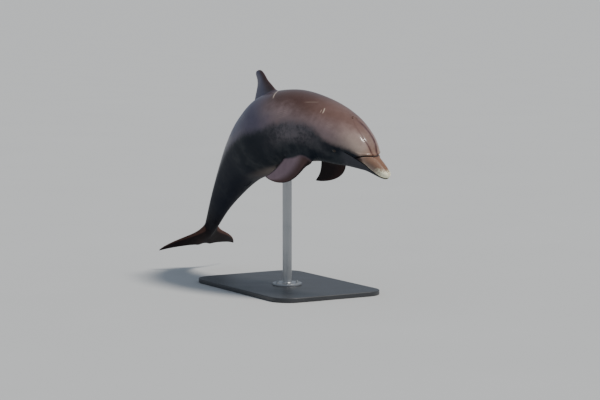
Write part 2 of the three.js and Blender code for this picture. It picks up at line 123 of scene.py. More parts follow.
def off_curve(line: Rows, along: np.ndarray, across: np.ndarray, step: float) -> np.ndarray:
    """Distance across from a drawn line, square to it.

    It is the gap across, over the square root of 1 + slope squared.

    Args:
        line: rows of a place along, and where the line lies across there.
        along: places along.
        across: places across.
        step: how far ahead and behind the slope is taken.

    Returns:
        Distances, positive on the side toward which the places across rise.
    """
    curve = SmoothCurve(line)
    slope = (curve(along + step) - curve(along - step)) / (2 * step)
    return (across - curve(along)) / np.sqrt(1 + slope**2)


@dataclass(frozen=True)
class Ridge:
    """A rounded ridge beside a line, or a groove where its height is below 0."""

    height: float
    place: float  # how far from the line its top is
    width: float

    def __call__(self, off: np.ndarray) -> np.ndarray:
        """Height at distances off the line: height * bell curve of (off - place) over width."""
        return self.height * bell(off - self.place, self.width)


def quarter_round(radius: float, points: int) -> np.ndarray:
    """Quarter circle as rows of [across, up], from (radius, 0) to (0, radius), that bulges toward 0."""
    turn = np.linspace(0, np.pi / 2, points)
    return radius * (1 - np.stack([np.sin(turn), np.cos(turn)], -1))


def full_turn(sides: int) -> np.ndarray:
    """Even angles round a circle, in radians."""
    return 2 * np.pi * np.arange(sides) / sides


# ---------------------------------------------------------------- meshes


def grid_quads(rows: int, columns: int) -> np.ndarray:
    """Four-cornered faces of a tube of rings, each ring closed on itself.

    Args:
        rows: number of rings.
        columns: points in each ring.

    Returns:
        Corner numbers, one row of four for each face.
    """
    row, column = np.meshgrid(np.arange(rows - 1), np.arange(columns), indexing="ij")
    after = (column + 1) % columns
    corners = [row * columns + column, row * columns + after,
               (row + 1) * columns + after, (row + 1) * columns + column]
    return np.stack(corners, -1).reshape(-1, 4)


@dataclass
class Shell:
    """One closed tube of rings: a grid of points with a flat face over each end."""

    rings: np.ndarray  # rows, columns, 3, in millimetres

    def faces(self, first: int = 0) -> list[list[int]]:
        """All its faces, turned outward.

        The sign of the volume, a sixth of the sum of the corner vectors' triple
        products over the tube's own triangles, says which way round they are.

        Args:
            first: the number of the shell's first point in the mesh.

        Returns:
            Lists of corner numbers.
        """
        rows, columns = self.rings.shape[:2]
        quads = grid_quads(rows, columns)
        points = self.rings.reshape(-1, 3) - self.rings.reshape(-1, 3).mean(0)
        a, b, c, d = (points[quads[:, k]] for k in range(4))
        volume = dot(a, np.cross(b, c)).sum() + dot(a, np.cross(c, d)).sum()
        made = quads.tolist()
        made += [list(range(columns))[::-1], list(range((rows - 1) * columns, rows * columns))]
        if volume < 0:
            made = [face[::-1] for face in made]
        return [[first + k for k in face] for face in made]


def put_object(name: str, data: bpy.types.ID) -> bpy.types.Object:
    """A new object at the origin, linked to the scene."""
    made = bpy.data.objects.new(name, data)
    bpy.context.scene.collection.objects.link(made)
    return made


def put_mesh(name: str, shells: Sequence[Shell]) -> bpy.types.Object:
    """Writes closed shells into one new smooth object at the origin.

    Args:
        name: the object's name.
        shells: its shells, in millimetres.

    Returns:
        The object, linked to the scene.
    """
    points = [shell.rings.reshape(-1, 3) for shell in shells]
    starts = np.cumsum([0] + [len(p) for p in points])
    faces = [f for shell, first in zip(shells, starts) for f in shell.faces(int(first))]
    mesh = bpy.data.meshes.new(name)
    mesh.from_pydata((np.concatenate(points) * MM).tolist(), [], faces)
    mesh.update()
    mesh.shade_smooth()
    return put_object(name, mesh)


def read_rows(items: bpy.types.bpy_prop_collection, name: str, width: int = 3,
              kind: type = np.float32) -> np.ndarray:
    """Reads one row of numbers from each item of a mesh.

    Args:
        items: the mesh's points, edges or normals.
        name: which of their properties.
        width: how many numbers each has.
        kind: the numbers' own type.

    Returns:
        The rows.
    """
    flat = np.empty(len(items) * width, kind)
    items.foreach_get(name, flat)
    return flat.reshape(-1, width)


def vertex_array(mesh: bpy.types.Mesh) -> np.ndarray:
    """The mesh's points in millimetres, one row each."""
    return read_rows(mesh.vertices, "co").astype(float) / MM


def set_vertices(mesh: bpy.types.Mesh, points: np.ndarray) -> None:
    """Writes points, in millimetres, back into the mesh."""
    mesh.vertices.foreach_set("co", (points * MM).astype(np.float32).ravel())
    mesh.update()


def outward_normals(mesh: bpy.types.Mesh) -> np.ndarray:
    """The mesh's unit normals at its points, one row each."""
    return read_rows(mesh.vertex_normals, "vector").astype(float)


def add_attribute(mesh: bpy.types.Mesh, name: str, values: np.ndarray) -> None:
    """Stores one number for each point, which a finish can read by its name."""
    made = mesh.attributes.new(name, "FLOAT", "POINT")
    made.data.foreach_set("value", values.astype(np.float32))


def crease_edges(mesh: bpy.types.Mesh, angle: float) -> None:
    """Keeps edges sharper than an angle, in degrees, as hard edges in a smooth mesh."""
    mesh.set_sharp_from_angle(angle=math.radians(angle))


def rings_round(centre: Sequence[float], radius: np.ndarray, height: np.ndarray) -> np.ndarray:
    """Rings round an upright axis, each row of radii and heights a ring.

    A point is x = radius * cos(turn) and y = radius * sin(turn) from the centre.

    Args:
        centre: where the axis stands, x and y.
        radius: rows of radii, one for each side.
        height: heights of the same shape, or one for each row.

    Returns:
        Rows of rings of points.
    """
    turn = full_turn(radius.shape[1])
    return np.stack([centre[0] + radius * np.cos(turn), centre[1] + radius * np.sin(turn),
                     height + 0 * radius], -1)


def revolve(profile: Rows, centre: Sequence[float], sides: int) -> Shell:
    """Turns a profile of [radius, height] round an upright axis, one ring for each of its points.

    Args:
        profile: radius and height of each ring, from one end to the other.
        centre: where the axis stands, x and y.
        sides: points in a ring.

    Returns:
        The closed shell.
    """
    radius, height = np.asarray(profile, float).T[:, :, None]
    return Shell(rings_round(centre, np.repeat(radius, sides, 1), height))


# ---------------------------------------------------------------- the bent body


@dataclass
class Spine:
    """The bent line through the body: its direction in degrees at stations."""

    length: float = 2500.0
    step: float = 5.0
    pitch: Rows = (
        (0, -36), (300, -20), (625, -11), (1000, 6), (1375, 24),
        (1750, 39), (2125, 48), (2375, 52), (2500, 51))
    yaw: Rows = ((0, 19), (750, 6), (1500, -1), (2500, 0))
    roll: Rows = ((0, -2), (750, -1), (1500, 5), (2500, -4))
    fixed_station: float = 1000.0
    fixed_place: Sequence[float] = (60.0, -20.0, 1040.0)

    def __post_init__(self) -> None:
        """Walks back from the tip in short steps, then moves the line to its fixed place."""
        self._pitch, self._yaw, self._roll = map(SmoothCurve, (self.pitch, self.yaw, self.roll))
        middles = np.arange(0, self.length, self.step) + self.step / 2
        steps = -self.step * self.axes(middles)[0]
        points = np.vstack([np.zeros(3), np.cumsum(steps, 0)])
        fixed = points[round(self.fixed_station / self.step)]
        self._points = points - fixed + np.asarray(self.fixed_place)

    def axes(self, station: np.ndarray | float) -> tuple[np.ndarray, np.ndarray, np.ndarray]:
        """Forward, up and left directions of the body.

        Forward comes from yaw and pitch. Up is the steepest direction across it,
        turned about forward by minus the roll. Left is up crossed with forward.

        Args:
            station: one station or an array of them.

        Returns:
            Three arrays of unit vectors.
        """
        pitch, yaw, roll = (np.radians(c(station)) for c in (self._pitch, self._yaw, self._roll))
        forward = np.stack([np.cos(yaw) * np.cos(pitch), np.sin(yaw) * np.cos(pitch),
                            np.sin(pitch)], -1)
        level = np.stack([-np.cos(yaw) * np.sin(pitch), -np.sin(yaw) * np.sin(pitch),
                          np.cos(pitch)], -1)
        side = np.cross(forward, level)
        up = level * np.cos(roll)[..., None] - side * np.sin(roll)[..., None]
        return forward, up, np.cross(up, forward)

    def at(self, station: np.ndarray | float) -> np.ndarray:
        """Points of the line, carried straight on past its ends."""
        share = np.asarray(station, float) / self.step
        i = np.clip(np.floor(share).astype(int), 0, len(self._points) - 2)
        between = (share - i)[..., None]
        return self._points[i] * (1 - between) + self._points[i + 1] * between

    def place(self, station: np.ndarray | float, left: np.ndarray | float,
              height: np.ndarray | float) -> np.ndarray:
        """Points given by station, distance to the left and height above the line."""
        _, up, aside = self.axes(station)
        return (self.at(station) + aside * np.asarray(left, float)[..., None]
                + up * np.asarray(height, float)[..., None])


# station, back above the spine, belly below it, half width, roundness exponent
BODY_SIZES = (
    (0, 0, 0, 0, 2.2), (4, 12, 14, 16, 2.2), (16, 22, 26, 30, 2.3), (40, 29, 37, 39, 2.3),
    (94, 42, 49, 49, 2.3), (148, 53, 58, 62, 2.3), (168, 66, 62, 74, 2.2),
    (197, 98, 70, 94, 2.2), (246, 132, 82, 117, 2.2), (319, 166, 99, 142, 2.2),
    (405, 198, 121, 162, 2.2), (552, 227, 148, 185, 2.15), (725, 243, 187, 207, 2.1),
    (925, 258, 224, 220, 2.1), (1150, 260, 244, 221, 2.1), (1375, 229, 234, 198, 2.0),
    (1625, 185, 187, 150, 1.95), (1875, 148, 144, 102, 1.85), (2125, 105, 93, 62, 1.8),
    (2300, 70, 66, 40, 1.8), (2400, 50, 43, 30, 1.9), (2475, 16, 15, 25, 2.0))


@dataclass
class Body:
    """The body without its fins: rounded sections along the spine."""

    spine: Spine = field(default_factory=Spine)
    sizes: Rows = BODY_SIZES
    tip_rows: int = 5  # rows that shape the rounded tip
    tip_blend: tuple[float, float] = (6.0, 30.0)
    tail_round: tuple[float, float] = (2415.0, 64.0)  # where the end starts to round, and its reach

    def __post_init__(self) -> None:
        """Makes a smooth curve for each column of sizes.

        Near the tip the curves run over the square root of the station instead,
        which rounds it like the end of an egg.
        """
        table = np.asarray(self.sizes, float)
        tip = table[: self.tip_rows]
        self._columns = [SmoothCurve(table[:, (0, k)]) for k in (1, 2, 3, 4)]
        self._tip = [SmoothCurve(np.stack([np.sqrt(tip[:, 0]), tip[:, k]], -1)) for k in (1, 2, 3)]

    def size(self, station: np.ndarray | float) -> list[np.ndarray]:
        """Back, belly, half width and roundness exponent at stations."""
        station = np.asarray(station, float)
        share = ease(station, *self.tip_blend)
        root = np.sqrt(np.clip(station, 0, None))
        start, reach = self.tail_round
        end = np.sqrt(np.clip(1 - np.clip((station - start) / reach, 0, 1) ** 2, 0.05, 1))
        sizes = [(tip(root) * (1 - share) + column(station) * share) * end
                 for tip, column in zip(self._tip, self._columns)]
        return [*sizes, self._columns[3](station)]

    def section(self, station: np.ndarray, angle: np.ndarray) -> tuple[np.ndarray, np.ndarray]:
        """Left and height of the skin round a section.

        left = half width * sin(angle) and height = middle + half height * cos(angle),
        each with its size raised to 2 / roundness and its sign kept.

        Args:
            station: stations.
            angle: angles round the body in radians, 0 at the back and positive to the left.

        Returns:
            Distance to the left and height above the spine.
        """
        back, belly, width, roundness = self.size(station)
        power = 2 / roundness
        sine, cosine = np.sin(angle), np.cos(angle)
        left = width * np.sign(sine) * np.abs(sine) ** power
        height = (back - belly) / 2 + (back + belly) / 2 * np.sign(cosine) * np.abs(cosine) ** power
        return left, height

    def surface(self, station: np.ndarray, angle: np.ndarray) -> np.ndarray:
        """Points of the skin at stations and angles."""
        return self.spine.place(station, *self.section(station, angle))

    def angle_at_height(self, station: np.ndarray, height: np.ndarray) -> np.ndarray:
        """Angle in radians at which the left side's skin has a height above the spine."""
        back, belly, _, roundness = self.size(station)
        share = np.clip((height - (back - belly) / 2) / ((back + belly) / 2), -1, 1)
        return np.arccos(np.sign(share) * np.abs(share) ** (roundness / 2))

    def locate(self, points: np.ndarray) -> tuple[np.ndarray, np.ndarray, np.ndarray]:
        """Station, left and height of points anywhere near the body.

        From the nearest of some even stations, Newton's method moves each point's
        station until the point lies straight across the spine from it.

        Args:
            points: rows of x, y and z.

        Returns:
            Three arrays, one number for each point.
        """
        coarse = np.arange(0.0, self.spine.length + 1, 25.0)
        centres = self.spine.at(coarse)
        nearness = (centres**2).sum(1)[None] - 2 * points @ centres.T
        station = coarse[nearness.argmin(1)]
        for _ in range(6):
            forward = self.spine.axes(station)[0]
            turning = (self.spine.axes(station + 1)[0] - self.spine.axes(station - 1)[0]) / 2
            offset = points - self.spine.at(station)
            slope = np.clip(1 + dot(offset, turning), 0.4, 2.5)
            station = np.clip(station - dot(offset, forward) / slope, -40, self.spine.length + 300)
        _, up, left = self.spine.axes(station)
        offset = points - self.spine.at(station)
        return station, dot(offset, left), dot(offset, up)

    def share_out(self, station: np.ndarray, left: np.ndarray, height: np.ndarray) -> np.ndarray:
        """How far out a place is across the body: 1 on the skin, more outside it."""
        back, belly, width, roundness = self.size(np.clip(station, 1, 2470))
        x = np.abs(left) / width
        y = np.abs(height - (back - belly) / 2) / ((back + belly) / 2)
        return (x**roundness + y**roundness) ** (1 / roundness)


# ---------------------------------------------------------------- fins


@dataclass(frozen=True)
class FinSet:
    """Where a fin's root stands, and its three directions."""

    root: np.ndarray
    aft: np.ndarray
    out: np.ndarray
    normal: np.ndarray


@dataclass(frozen=True)
class Blade:
    """A fin's own sizes; each kind of blade says how its outline is drawn."""

    root: float  # chord at the root
    span: float  # from the root line to the tip
    sunk: float  # how far below the root line the span starts
    curl: float  # how far the tip bends off the plane, as a share of the span

    def outline(self, share: np.ndarray) -> tuple[np.ndarray, np.ndarray, np.ndarray]:
        """The blade's outline; each kind of blade has its own.

        Args:
            share: shares of the span, 0 at the root.

        Returns:
            The set-back of the leading edge, the chord and the greatest thickness.
        """
        raise NotImplementedError

    @staticmethod
    def foil(share: np.ndarray) -> np.ndarray:
        """Half thickness along a section at shares of its chord, round in front and thin behind."""
        u = np.clip(share, 0, 1)
        return 5 * (0.2969 * np.sqrt(u) - 0.126 * u - 0.3516 * u**2 + 0.2843 * u**3 - 0.1015 * u**4)

    def rings(self, stand: FinSet, share: np.ndarray, points: int) -> np.ndarray:
        """Sections of the blade as rings of points.

        A ring runs back over the blade's upper face and forward under it. A point is
        root + aft * (set-back + chord * u) + out * span * t + normal * (bend + half thickness).

        Args:
            stand: where the blade stands.
            share: shares of the span, which may start a little inside the body.
            points: points along each face.

        Returns:
            Rows of rings of points.
        """
        front, length, thick = (a[:, None] for a in self.outline(share))
        u = (1 - np.cos(np.pi * np.arange(points + 1) / points)) / 2
        u = np.concatenate([u, u[-2:0:-1]])[None]
        face = np.concatenate([np.ones(points + 1), -np.ones(points - 1)])[None]
        edge = np.minimum(2.0, length / 8)
        half = face * (thick * self.foil(u) + edge * u)
        bend = (self.curl * self.span * np.clip(share, 0, 1) ** 2)[:, None]
        along = front + length * u
        away = (self.span * share - self.sunk)[:, None] + 0 * u
        return (stand.root + along[..., None] * stand.aft + away[..., None] * stand.out
                + (bend + half)[..., None] * stand.normal)

    def locate(self, stand: FinSet, points: np.ndarray) -> dict[str, np.ndarray]:
        """Where points lie on the blade: share of span and chord, side, and distance off it.

        Args:
            stand: where the blade stands.
            points: rows of x, y and z.

        Returns:
            "span" and "chord" as shares, "side", the distance above its middle plane,
            and "off", the distance from its skin.
        """
        offset = points - stand.root
        reach, rise = dot(offset, stand.out), dot(offset, stand.normal)
        lean = dot(stand.out, stand.normal)  # not 0 where a blade is raised or dropped
        reach, rise = (reach - lean * rise) / (1 - lean**2), (rise - lean * reach) / (1 - lean**2)
        span = (reach + self.sunk) / self.span
        front, length, thick = self.outline(span)
        along = dot(offset, stand.aft) - front
        chord = along / length
        bend = self.curl * self.span * np.clip(span, 0, 1) ** 2
        side = rise - bend
        over = np.clip(np.abs(side) - thick * self.foil(chord) - 2, 0, None)
        beside = np.clip(np.maximum(-along, along - length), 0, None)
        beyond = np.clip((span - 1) * self.span, 0, None)
        off = np.sqrt(over**2 + beside**2 + beyond**2)
        return {"span": span, "chord": chord, "side": side, "off": off}


@dataclass(frozen=True)
class SweptBlade(Blade):
    """A blade that tapers, sweeps, thins and flares by simple laws."""

    taper: float  # share of the chord that is lost toward the tip, by a power of the span
    taper_power: float
    sweep: float  # how far back the tip is set
    straight: float  # share of the sweep that is straight; the rest goes by a power of the span
    sweep_power: float
    tip_power: float  # the higher, the blunter the tip
    tip_share: float  # how much of the tip's rounding is taken from the leading edge
    bulge: float  # how much longer the chord is halfway out
    thick_root: float  # thickness as a share of the chord
    thick_tip: float
    flare: float  # how much the root widens, as a share of its chord
    flare_reach: float  # over which share of the span
    notch: float = 0.0  # depth of the notch between two halves

    def outline(self, share: np.ndarray) -> tuple[np.ndarray, np.ndarray, np.ndarray]:
        """The outline, by simple laws.

        The chord falls off by a power of the share and ends in a round tip, the
        leading edge sweeps back by a straight part and a curved part, and a bell
        curve widens and thickens the root.

        Args:
            share: shares of the span, 0 at the root.

        Returns:
            The set-back, the chord and the greatest thickness.
        """
        t = np.clip(share, 0, FIN_END)
        full = self.root * (1 - self.taper * t**self.taper_power) * (1 + self.bulge * np.sin(np.pi * t))
        chord = full * np.sqrt(1 - t**self.tip_power)
        swept = self.straight * t + (1 - self.straight) * t**self.sweep_power
        flare = bell(t, self.flare_reach)
        front = self.sweep * swept + (full - chord) * self.tip_share - self.flare * self.root * flare
        length = chord + self.flare * self.root * flare * 1.3 - self.notch * bell(t, 0.05)
        ratio = self.thick_root + (self.thick_tip - self.thick_root) * np.minimum(1, 2.2 * t)
        thick = full * ratio * (1 + 0.9 * flare) * np.sqrt(np.clip(1 - t**6, 0.02, None))
        return front, length, thick


@dataclass(frozen=True)
class DrawnBlade(Blade):
    """A blade whose two edges and thickness are drawn over the height above its root line."""

    tip_power: float
    tip_share: float
    leading: Rows
    trailing: Rows
    thick: Rows

    def outline(self, share: np.ndarray) -> tuple[np.ndarray, np.ndarray, np.ndarray]:
        """The outline, from the drawn edges.

        The chord is the gap between the two edges, closed into a round tip:
        chord = gap * square root of (1 - share to the tip's power).

        Args:
            share: shares of the span, 0 at the sunken root.

        Returns:
            The set-back, the chord and the greatest thickness.
        """
        t = np.clip(share, 0, FIN_END)
        height = self.span * t - self.sunk
        lead = SmoothCurve(self.leading)(height)
        full = SmoothCurve(self.trailing)(height) - lead
        length = full * np.sqrt(1 - t**self.tip_power)
        thick = SmoothCurve(self.thick)(height) * np.sqrt(np.clip(1 - t**12, 0.02, None))
        return lead + (full - length) * self.tip_share, length, thick


class Side(Enum):
    """The two sides of the body."""

    LEFT = 1
    RIGHT = -1


class FinKind(Enum):
    """Kinds of fin: the share that each is marked by, and how far off the body that starts."""

    DORSAL = ("dorsal", 5.0)
    FLIPPER = ("paddle", 16.0)  # its root keeps the chest's painted shade
    FLUKES = ("paddle", 5.0)

    def __init__(self, share: str, start: float) -> None:
        """Names the two parts of the value."""
        self.share, self.start = share, start


@dataclass
class Fin:
    """A blade on the body, as one shell that reaches a little way inside."""

    name: str
    kind: FinKind
    plan: Blade
    stand: FinSet
    inside: float = 0.16  # share of the span that runs on inside the body
    spans: int = 46
    points: int = 24
    mirror: FinSet | None = None  # the other half of a fin that crosses the body

    def shares(self) -> np.ndarray:
        """Shares of the span, close together toward the tip."""
        steps = np.sin(np.pi / 2 * np.arange(self.spans + 1) / self.spans)
        steps[-1] = FIN_END
        return steps

    def shell(self) -> Shell:
        """The closed blade; one with two halves runs from tip to tip."""
        outer = self.plan.rings(self.stand, self.shares(), self.points)
        if self.mirror is not None:
            other = self.plan.rings(self.mirror, self.shares()[:0:-1], self.points)
            return Shell(np.concatenate([other, outer]))
        inner = self.plan.rings(self.stand, np.linspace(-self.inside, 0, 6)[:-1], self.points)
        return Shell(np.concatenate([inner, outer]))

    def where(self, points: np.ndarray) -> dict[str, np.ndarray]:
        """Where points lie on it, taken from the nearer half where it has two."""
        found = self.plan.locate(self.stand, points)
        if self.mirror is None:
            return found
        other = self.plan.locate(self.mirror, points)
        nearer = other["span"] > found["span"]
        return {key: np.where(nearer, other[key], found[key]) for key in found}


@dataclass
class Fins:
    """All fins of the dolphin and how they are set on its body."""

    body: Body
    dorsal_station: float = 1072.0
    dorsal: Blade = DrawnBlade(
        root=315, span=272, sunk=30, curl=0, tip_power=14, tip_share=0.7,
        leading=((-30, -50), (0, 8), (30, 60), (50, 82), (78, 106), (104, 131), (133, 156),
                 (156, 171), (179, 184), (203, 198), (224, 209), (242, 219)),
        trailing=((-30, 440), (0, 418), (20, 406), (40, 394), (60, 380), (78, 366), (93, 351),
                  (118, 328), (136, 313), (150, 304), (164, 298), (183, 296), (205, 302),
                  (224, 310), (242, 315)),
        thick=((-30, 84), (0, 62), (25, 44), (50, 35), (100, 27), (150, 22), (200, 18), (242, 14)))
    flipper_station: float = 672.0
    flipper_angle: float = 139.0  # round the body from the back
    flipper_depth: float = 0.93  # share of the way out to the skin
    flipper: Blade = SweptBlade(
        root=178, span=291, sunk=0, curl=-0.09, taper=0.36, taper_power=1.83, sweep=176,
        straight=0.05, sweep_power=2.8, tip_power=7.5, tip_share=0.85, bulge=0.125,
        thick_root=0.27, thick_tip=0.1, flare=0.1, flare_reach=0.12)
    fluke_station: float = 2349.0
    fluke: Blade = SweptBlade(
        root=168, span=300, sunk=0, curl=0.3, taper=0.8, taper_power=0.89, sweep=232,
        straight=0.7, sweep_power=3, tip_power=9.5, tip_share=1, bulge=0,
        thick_root=0.24, thick_tip=0.12, flare=0.36, flare_reach=0.2, notch=34)
    # degrees below level, swept back, and leading edge raised
    set_right: tuple[float, float, float] = (71.0, 18.0, -4.0)
    set_left: tuple[float, float, float] = (55.0, 12.5, 15.5)
    fluke_pitch: float = 1.0
    fluke_dihedral: float = -4.0

    def dorsal_set(self) -> FinSet:
        """The dorsal fin stands on the line between the two ends of its root."""
        spine, front = self.body.spine, self.dorsal_station
        root = np.array([front, front + self.dorsal.root])
        ends = spine.place(root, 0.0, self.body.size(root)[0])
        aft = unit(ends[1] - ends[0])
        left = spine.axes(np.array(front + self.dorsal.root / 2))[2]
        return FinSet(ends[0], aft, unit(np.cross(left, aft)), left)

    def flipper_set(self, side: Side) -> FinSet:
        """A flipper leaves the lower side of the chest, dropped, swept and tilted.

        Args:
            side: which flipper.

        Returns:
            Its root and directions.
        """
        drop, swept, raised = np.radians(self.set_left if side is Side.LEFT else self.set_right)
        at = np.array(self.flipper_station)
        forward, up, left = self.body.spine.axes(at)
        across, height = self.body.section(at, side.value * math.radians(self.flipper_angle))
        middle = self.body.spine.place(at, across * self.flipper_depth, height * self.flipper_depth)
        reach = left * side.value * math.cos(drop) - up * math.sin(drop)
        face = np.cross(forward, reach) * side.value
        ahead = forward * math.cos(raised) + face * math.sin(raised)
        out = reach * math.cos(swept) - ahead * math.sin(swept)
        chordwise = ahead * math.cos(swept) + reach * math.sin(swept)
        normal = np.cross(ahead, reach) * side.value
        return FinSet(middle + chordwise * self.flipper.root / 2, -chordwise, out, normal)

    def fluke_set(self, side: Side) -> FinSet:
        """One half of the flukes leaves the end of the tail."""
        forward, up, left = self.body.spine.axes(np.array(self.fluke_station))
        pitch, rise = math.radians(self.fluke_pitch), math.radians(self.fluke_dihedral)
        aft = -forward * math.cos(pitch) - up * math.sin(pitch)
        normal = up * math.cos(pitch) - forward * math.sin(pitch)
        out = left * side.value * math.cos(rise) + normal * math.sin(rise)
        return FinSet(self.body.spine.at(self.fluke_station), aft, out, normal)

    def build(self) -> list[Fin]:
        """All fins: the dorsal fin, both flippers and the flukes."""
        return [
            Fin("dorsal_fin", FinKind.DORSAL, self.dorsal, self.dorsal_set(), inside=0.02, spans=52,
                points=28),
            *(Fin("flipper_" + side.name.lower(), FinKind.FLIPPER, self.flipper, self.flipper_set(side))
              for side in Side),
            Fin("flukes", FinKind.FLUKES, self.fluke, self.fluke_set(Side.RIGHT),
                mirror=self.fluke_set(Side.LEFT)),
        ]


# ---------------------------------------------------------------- details of the skin


@dataclass
class Places:
    """Where each point of the skin lies on the body."""

    station: np.ndarray
    left: np.ndarray
    height: np.ndarray
    outside: np.ndarray  # distance off the body, as on a fin

    @property
    def around(self) -> np.ndarray:
        """Angle from the back, 0 to pi on either side."""
        return np.arctan2(np.abs(self.left), self.height)


@dataclass(frozen=True)
class Mouth:
    """The closed mouth: a fine groove between two soft lips."""

    line: Rows = (
        (-10, -8), (25, -17), (62, -22), (115, -18), (172, -2), (225, 13), (286, 22))
    groove: Ridge = Ridge(-5.0, 0.0, 2.3)
    upper_lip: Ridge = Ridge(1.5, 6.5, 4.5)
    lower_lip: Ridge = Ridge(1.05, -6.5, 4.5)
    dimple: Ridge = Ridge(-3.2, 0.0, 5.0)
    dimple_rim: Ridge = Ridge(1.2, 12.0, 5.0)
    jaw_forward: float = 3.0

    def off_line(self, at: Places) -> np.ndarray:
        """Distance above the mouth line, square to it, in the side view."""
        return off_curve(self.line, at.station, at.height, 2.0)

    def jaw_shift(self, at: Places) -> np.ndarray:
        """How far forward the skin moves below the line, so that the jaw's tip stands out."""
        return ease(self.off_line(at), 1, -4) * ease(at.station, 34, 2) * self.jaw_forward

    def relief(self, at: Places) -> np.ndarray:
        """Height of the lips and depth of the groove, which ends in a small dimple.

        Bell curves across the line: a narrow deep one for the groove, two broad
        raised ones for the lips, both fading behind the corner.
        """
        off, (back, high) = self.off_line(at), self.line[-1]
        fade = ease(at.station, back + 6, back - 10)
        lips = (self.upper_lip(off) + self.lower_lip(off)) * ease(at.station, 0, 14)
        away = np.hypot(at.station - back, at.height - high)
        dimple = self.dimple(away) + self.dimple_rim(away) * ease(at.station, back - 6, back + 6)
        return (self.groove(off) + lips) * fade + dimple


@dataclass(frozen=True)
class Crease:
    """The fold where the melon meets the beak, from the mouth over the top and down again."""

    line: Rows = (  # height above the spine, and the fold's station there
        (0, 222), (15, 209), (32, 189), (43, 171), (50, 152), (60, 137), (78, 124))
    fold: Ridge = Ridge(-8.5, 0.0, 4.2)
    melon: Ridge = Ridge(3.6, 12.0, 9.0)
    beak: Ridge = Ridge(1.2, -9.0, 6.0)

    def off_fold(self, at: Places) -> np.ndarray:
        """Distance behind the fold, square to it, in the side view."""
        return off_curve(self.line, at.height, at.station, 1.0)

    def strength(self, at: Places) -> np.ndarray:
        """How strong the fold is: full on the sides, weaker over the top, fading at the mouth."""
        return ease(at.height, 2, 20) * (0.62 + 0.38 * ease(np.abs(at.left), 6, 34))

    def relief(self, at: Places) -> np.ndarray:
        """A narrow fold with the melon rolling over it and a low swell on the beak."""
        off = self.off_fold(at)
        return (self.fold(off) + self.melon(off) + self.beak(off)) * self.strength(at)


@dataclass(frozen=True)
class Bridle:
    """Two dark lines that run from the blowhole over the melon and close in on its front."""

    line: Rows = (  # station, and the lines' distance from the middle
        (140, 17), (174, 25), (210, 35), (250, 39), (300, 37), (345, 27), (372, 14))
    groove: Ridge = Ridge(-0.7, 0.0, 5.0)
    left_width: float = 12.0  # of the left line's colour, which spreads beyond its groove

    def off_line(self, at: Places) -> np.ndarray:
        """Distance outward from the nearer line."""
        return np.abs(at.left) - SmoothCurve(self.line)(at.station)

    def colour(self, at: Places) -> np.ndarray:
        """Share of the lines' colour: a bell curve across each, wider on the left one."""
        width = np.where(at.left > 0, self.left_width, self.groove.width)
        return bell(self.off_line(at), width) * self.here(at)

    def here(self, at: Places) -> np.ndarray:
        """1 over the melon, fading at both ends and below."""
        return ease(at.station, 138, 160) * ease(at.station, 385, 335) * (at.height > 30)

    def relief(self, at: Places) -> np.ndarray:
        """Shallow grooves along the lines and a low swell between them."""
        off = self.off_line(at)
        swell = 0.9 * ease(off, 0, -22) * ease(at.station, 400, 300)
        return (swell + self.groove(off)) * self.here(at)


@dataclass(frozen=True)
class Blowhole:
    """Crescent blowhole, its horns toward the beak, a little left of the midline."""

    station: float = 382.0
    side: float = 9.0  # how far left of the midline
    bend: float = 17.0  # radius of the crescent
    slot: Ridge = Ridge(-7.5, 0.0, 2.6)
    rim: Ridge = Ridge(1.9, 6.5, 4.0)
    plug: Ridge = Ridge(1.2, 0.0, 11.0)

    def relief(self, at: Places) -> np.ndarray:
        """Slot along the back half of a circle, with a raised rim and a soft plug.

        The distance to the arc is the distance to the circle behind its middle and to
        the nearer horn in front of it.
        """
        ahead, aside = self.station - at.station, at.left - self.side
        ring = np.abs(np.hypot(ahead, aside) - self.bend)
        horn = np.hypot(ahead, np.abs(aside) - self.bend)
        away = np.where(ahead < 0, ring, horn)
        plug = self.plug(np.hypot(ahead, aside))
        return (self.rim(away) + plug + self.slot(away)) * (at.height > 0)


def groove(off: np.ndarray, depth: float, width: float, edge: float, reach: float) -> np.ndarray:
    """A groove with softly raised edges, a narrow bell curve down between two broader ones up.

    Args:
        off: distances from its middle.
        depth: how deep it is.
        width: half its width.
        edge: the edges' height as a share of the depth.
        reach: how many widths out the edges are highest.

    Returns:
        Heights of the skin.
    """
    return Ridge(edge * depth, reach * width, 1.6 * width)(np.abs(off)) - depth * bell(off, width)


@dataclass(frozen=True)
class Slit:
    """A short slit in the skin, such as the navel or the vent."""

    station: float
    left: float  # where it lies to the left, or on a flank the least distance out
    length: float
    width: float
    depth: float
    under: bool = True  # on the belly, otherwise on both flanks at a height
    height: float = 0.0

    def relief(self, at: Places) -> np.ndarray:
        """A groove along the body with softly raised edges; its ends fade."""
        along = np.clip(np.abs(at.station - self.station) - self.length / 2, 0, None)
        if self.under:
            across, here = at.left - self.left, at.height < 0
        else:
            across, here = at.height - self.height, np.abs(at.left) > self.left
        return groove(np.hypot(along, across), self.depth, self.width, edge=0.35, reach=2.6) * here


@dataclass(frozen=True)
class Fold:
    """A shallow fold across the body between two angles from the back, in degrees."""

    station: float
    lean: float  # how far it moves back over a quarter turn
    start: float
    end: float
    depth: float
    width: float

    def relief(self, at: Places) -> np.ndarray:
        """A groove across the body that fades toward both of its ends."""
        angle = np.degrees(at.around)
        line = self.station + self.lean * (angle - self.start) / 90
        fade = ease(angle, self.start, self.start + 14) * ease(angle, self.end, self.end - 14)
        return groove(at.station - line, self.depth, self.width, edge=0.5, reach=2.4) * fade


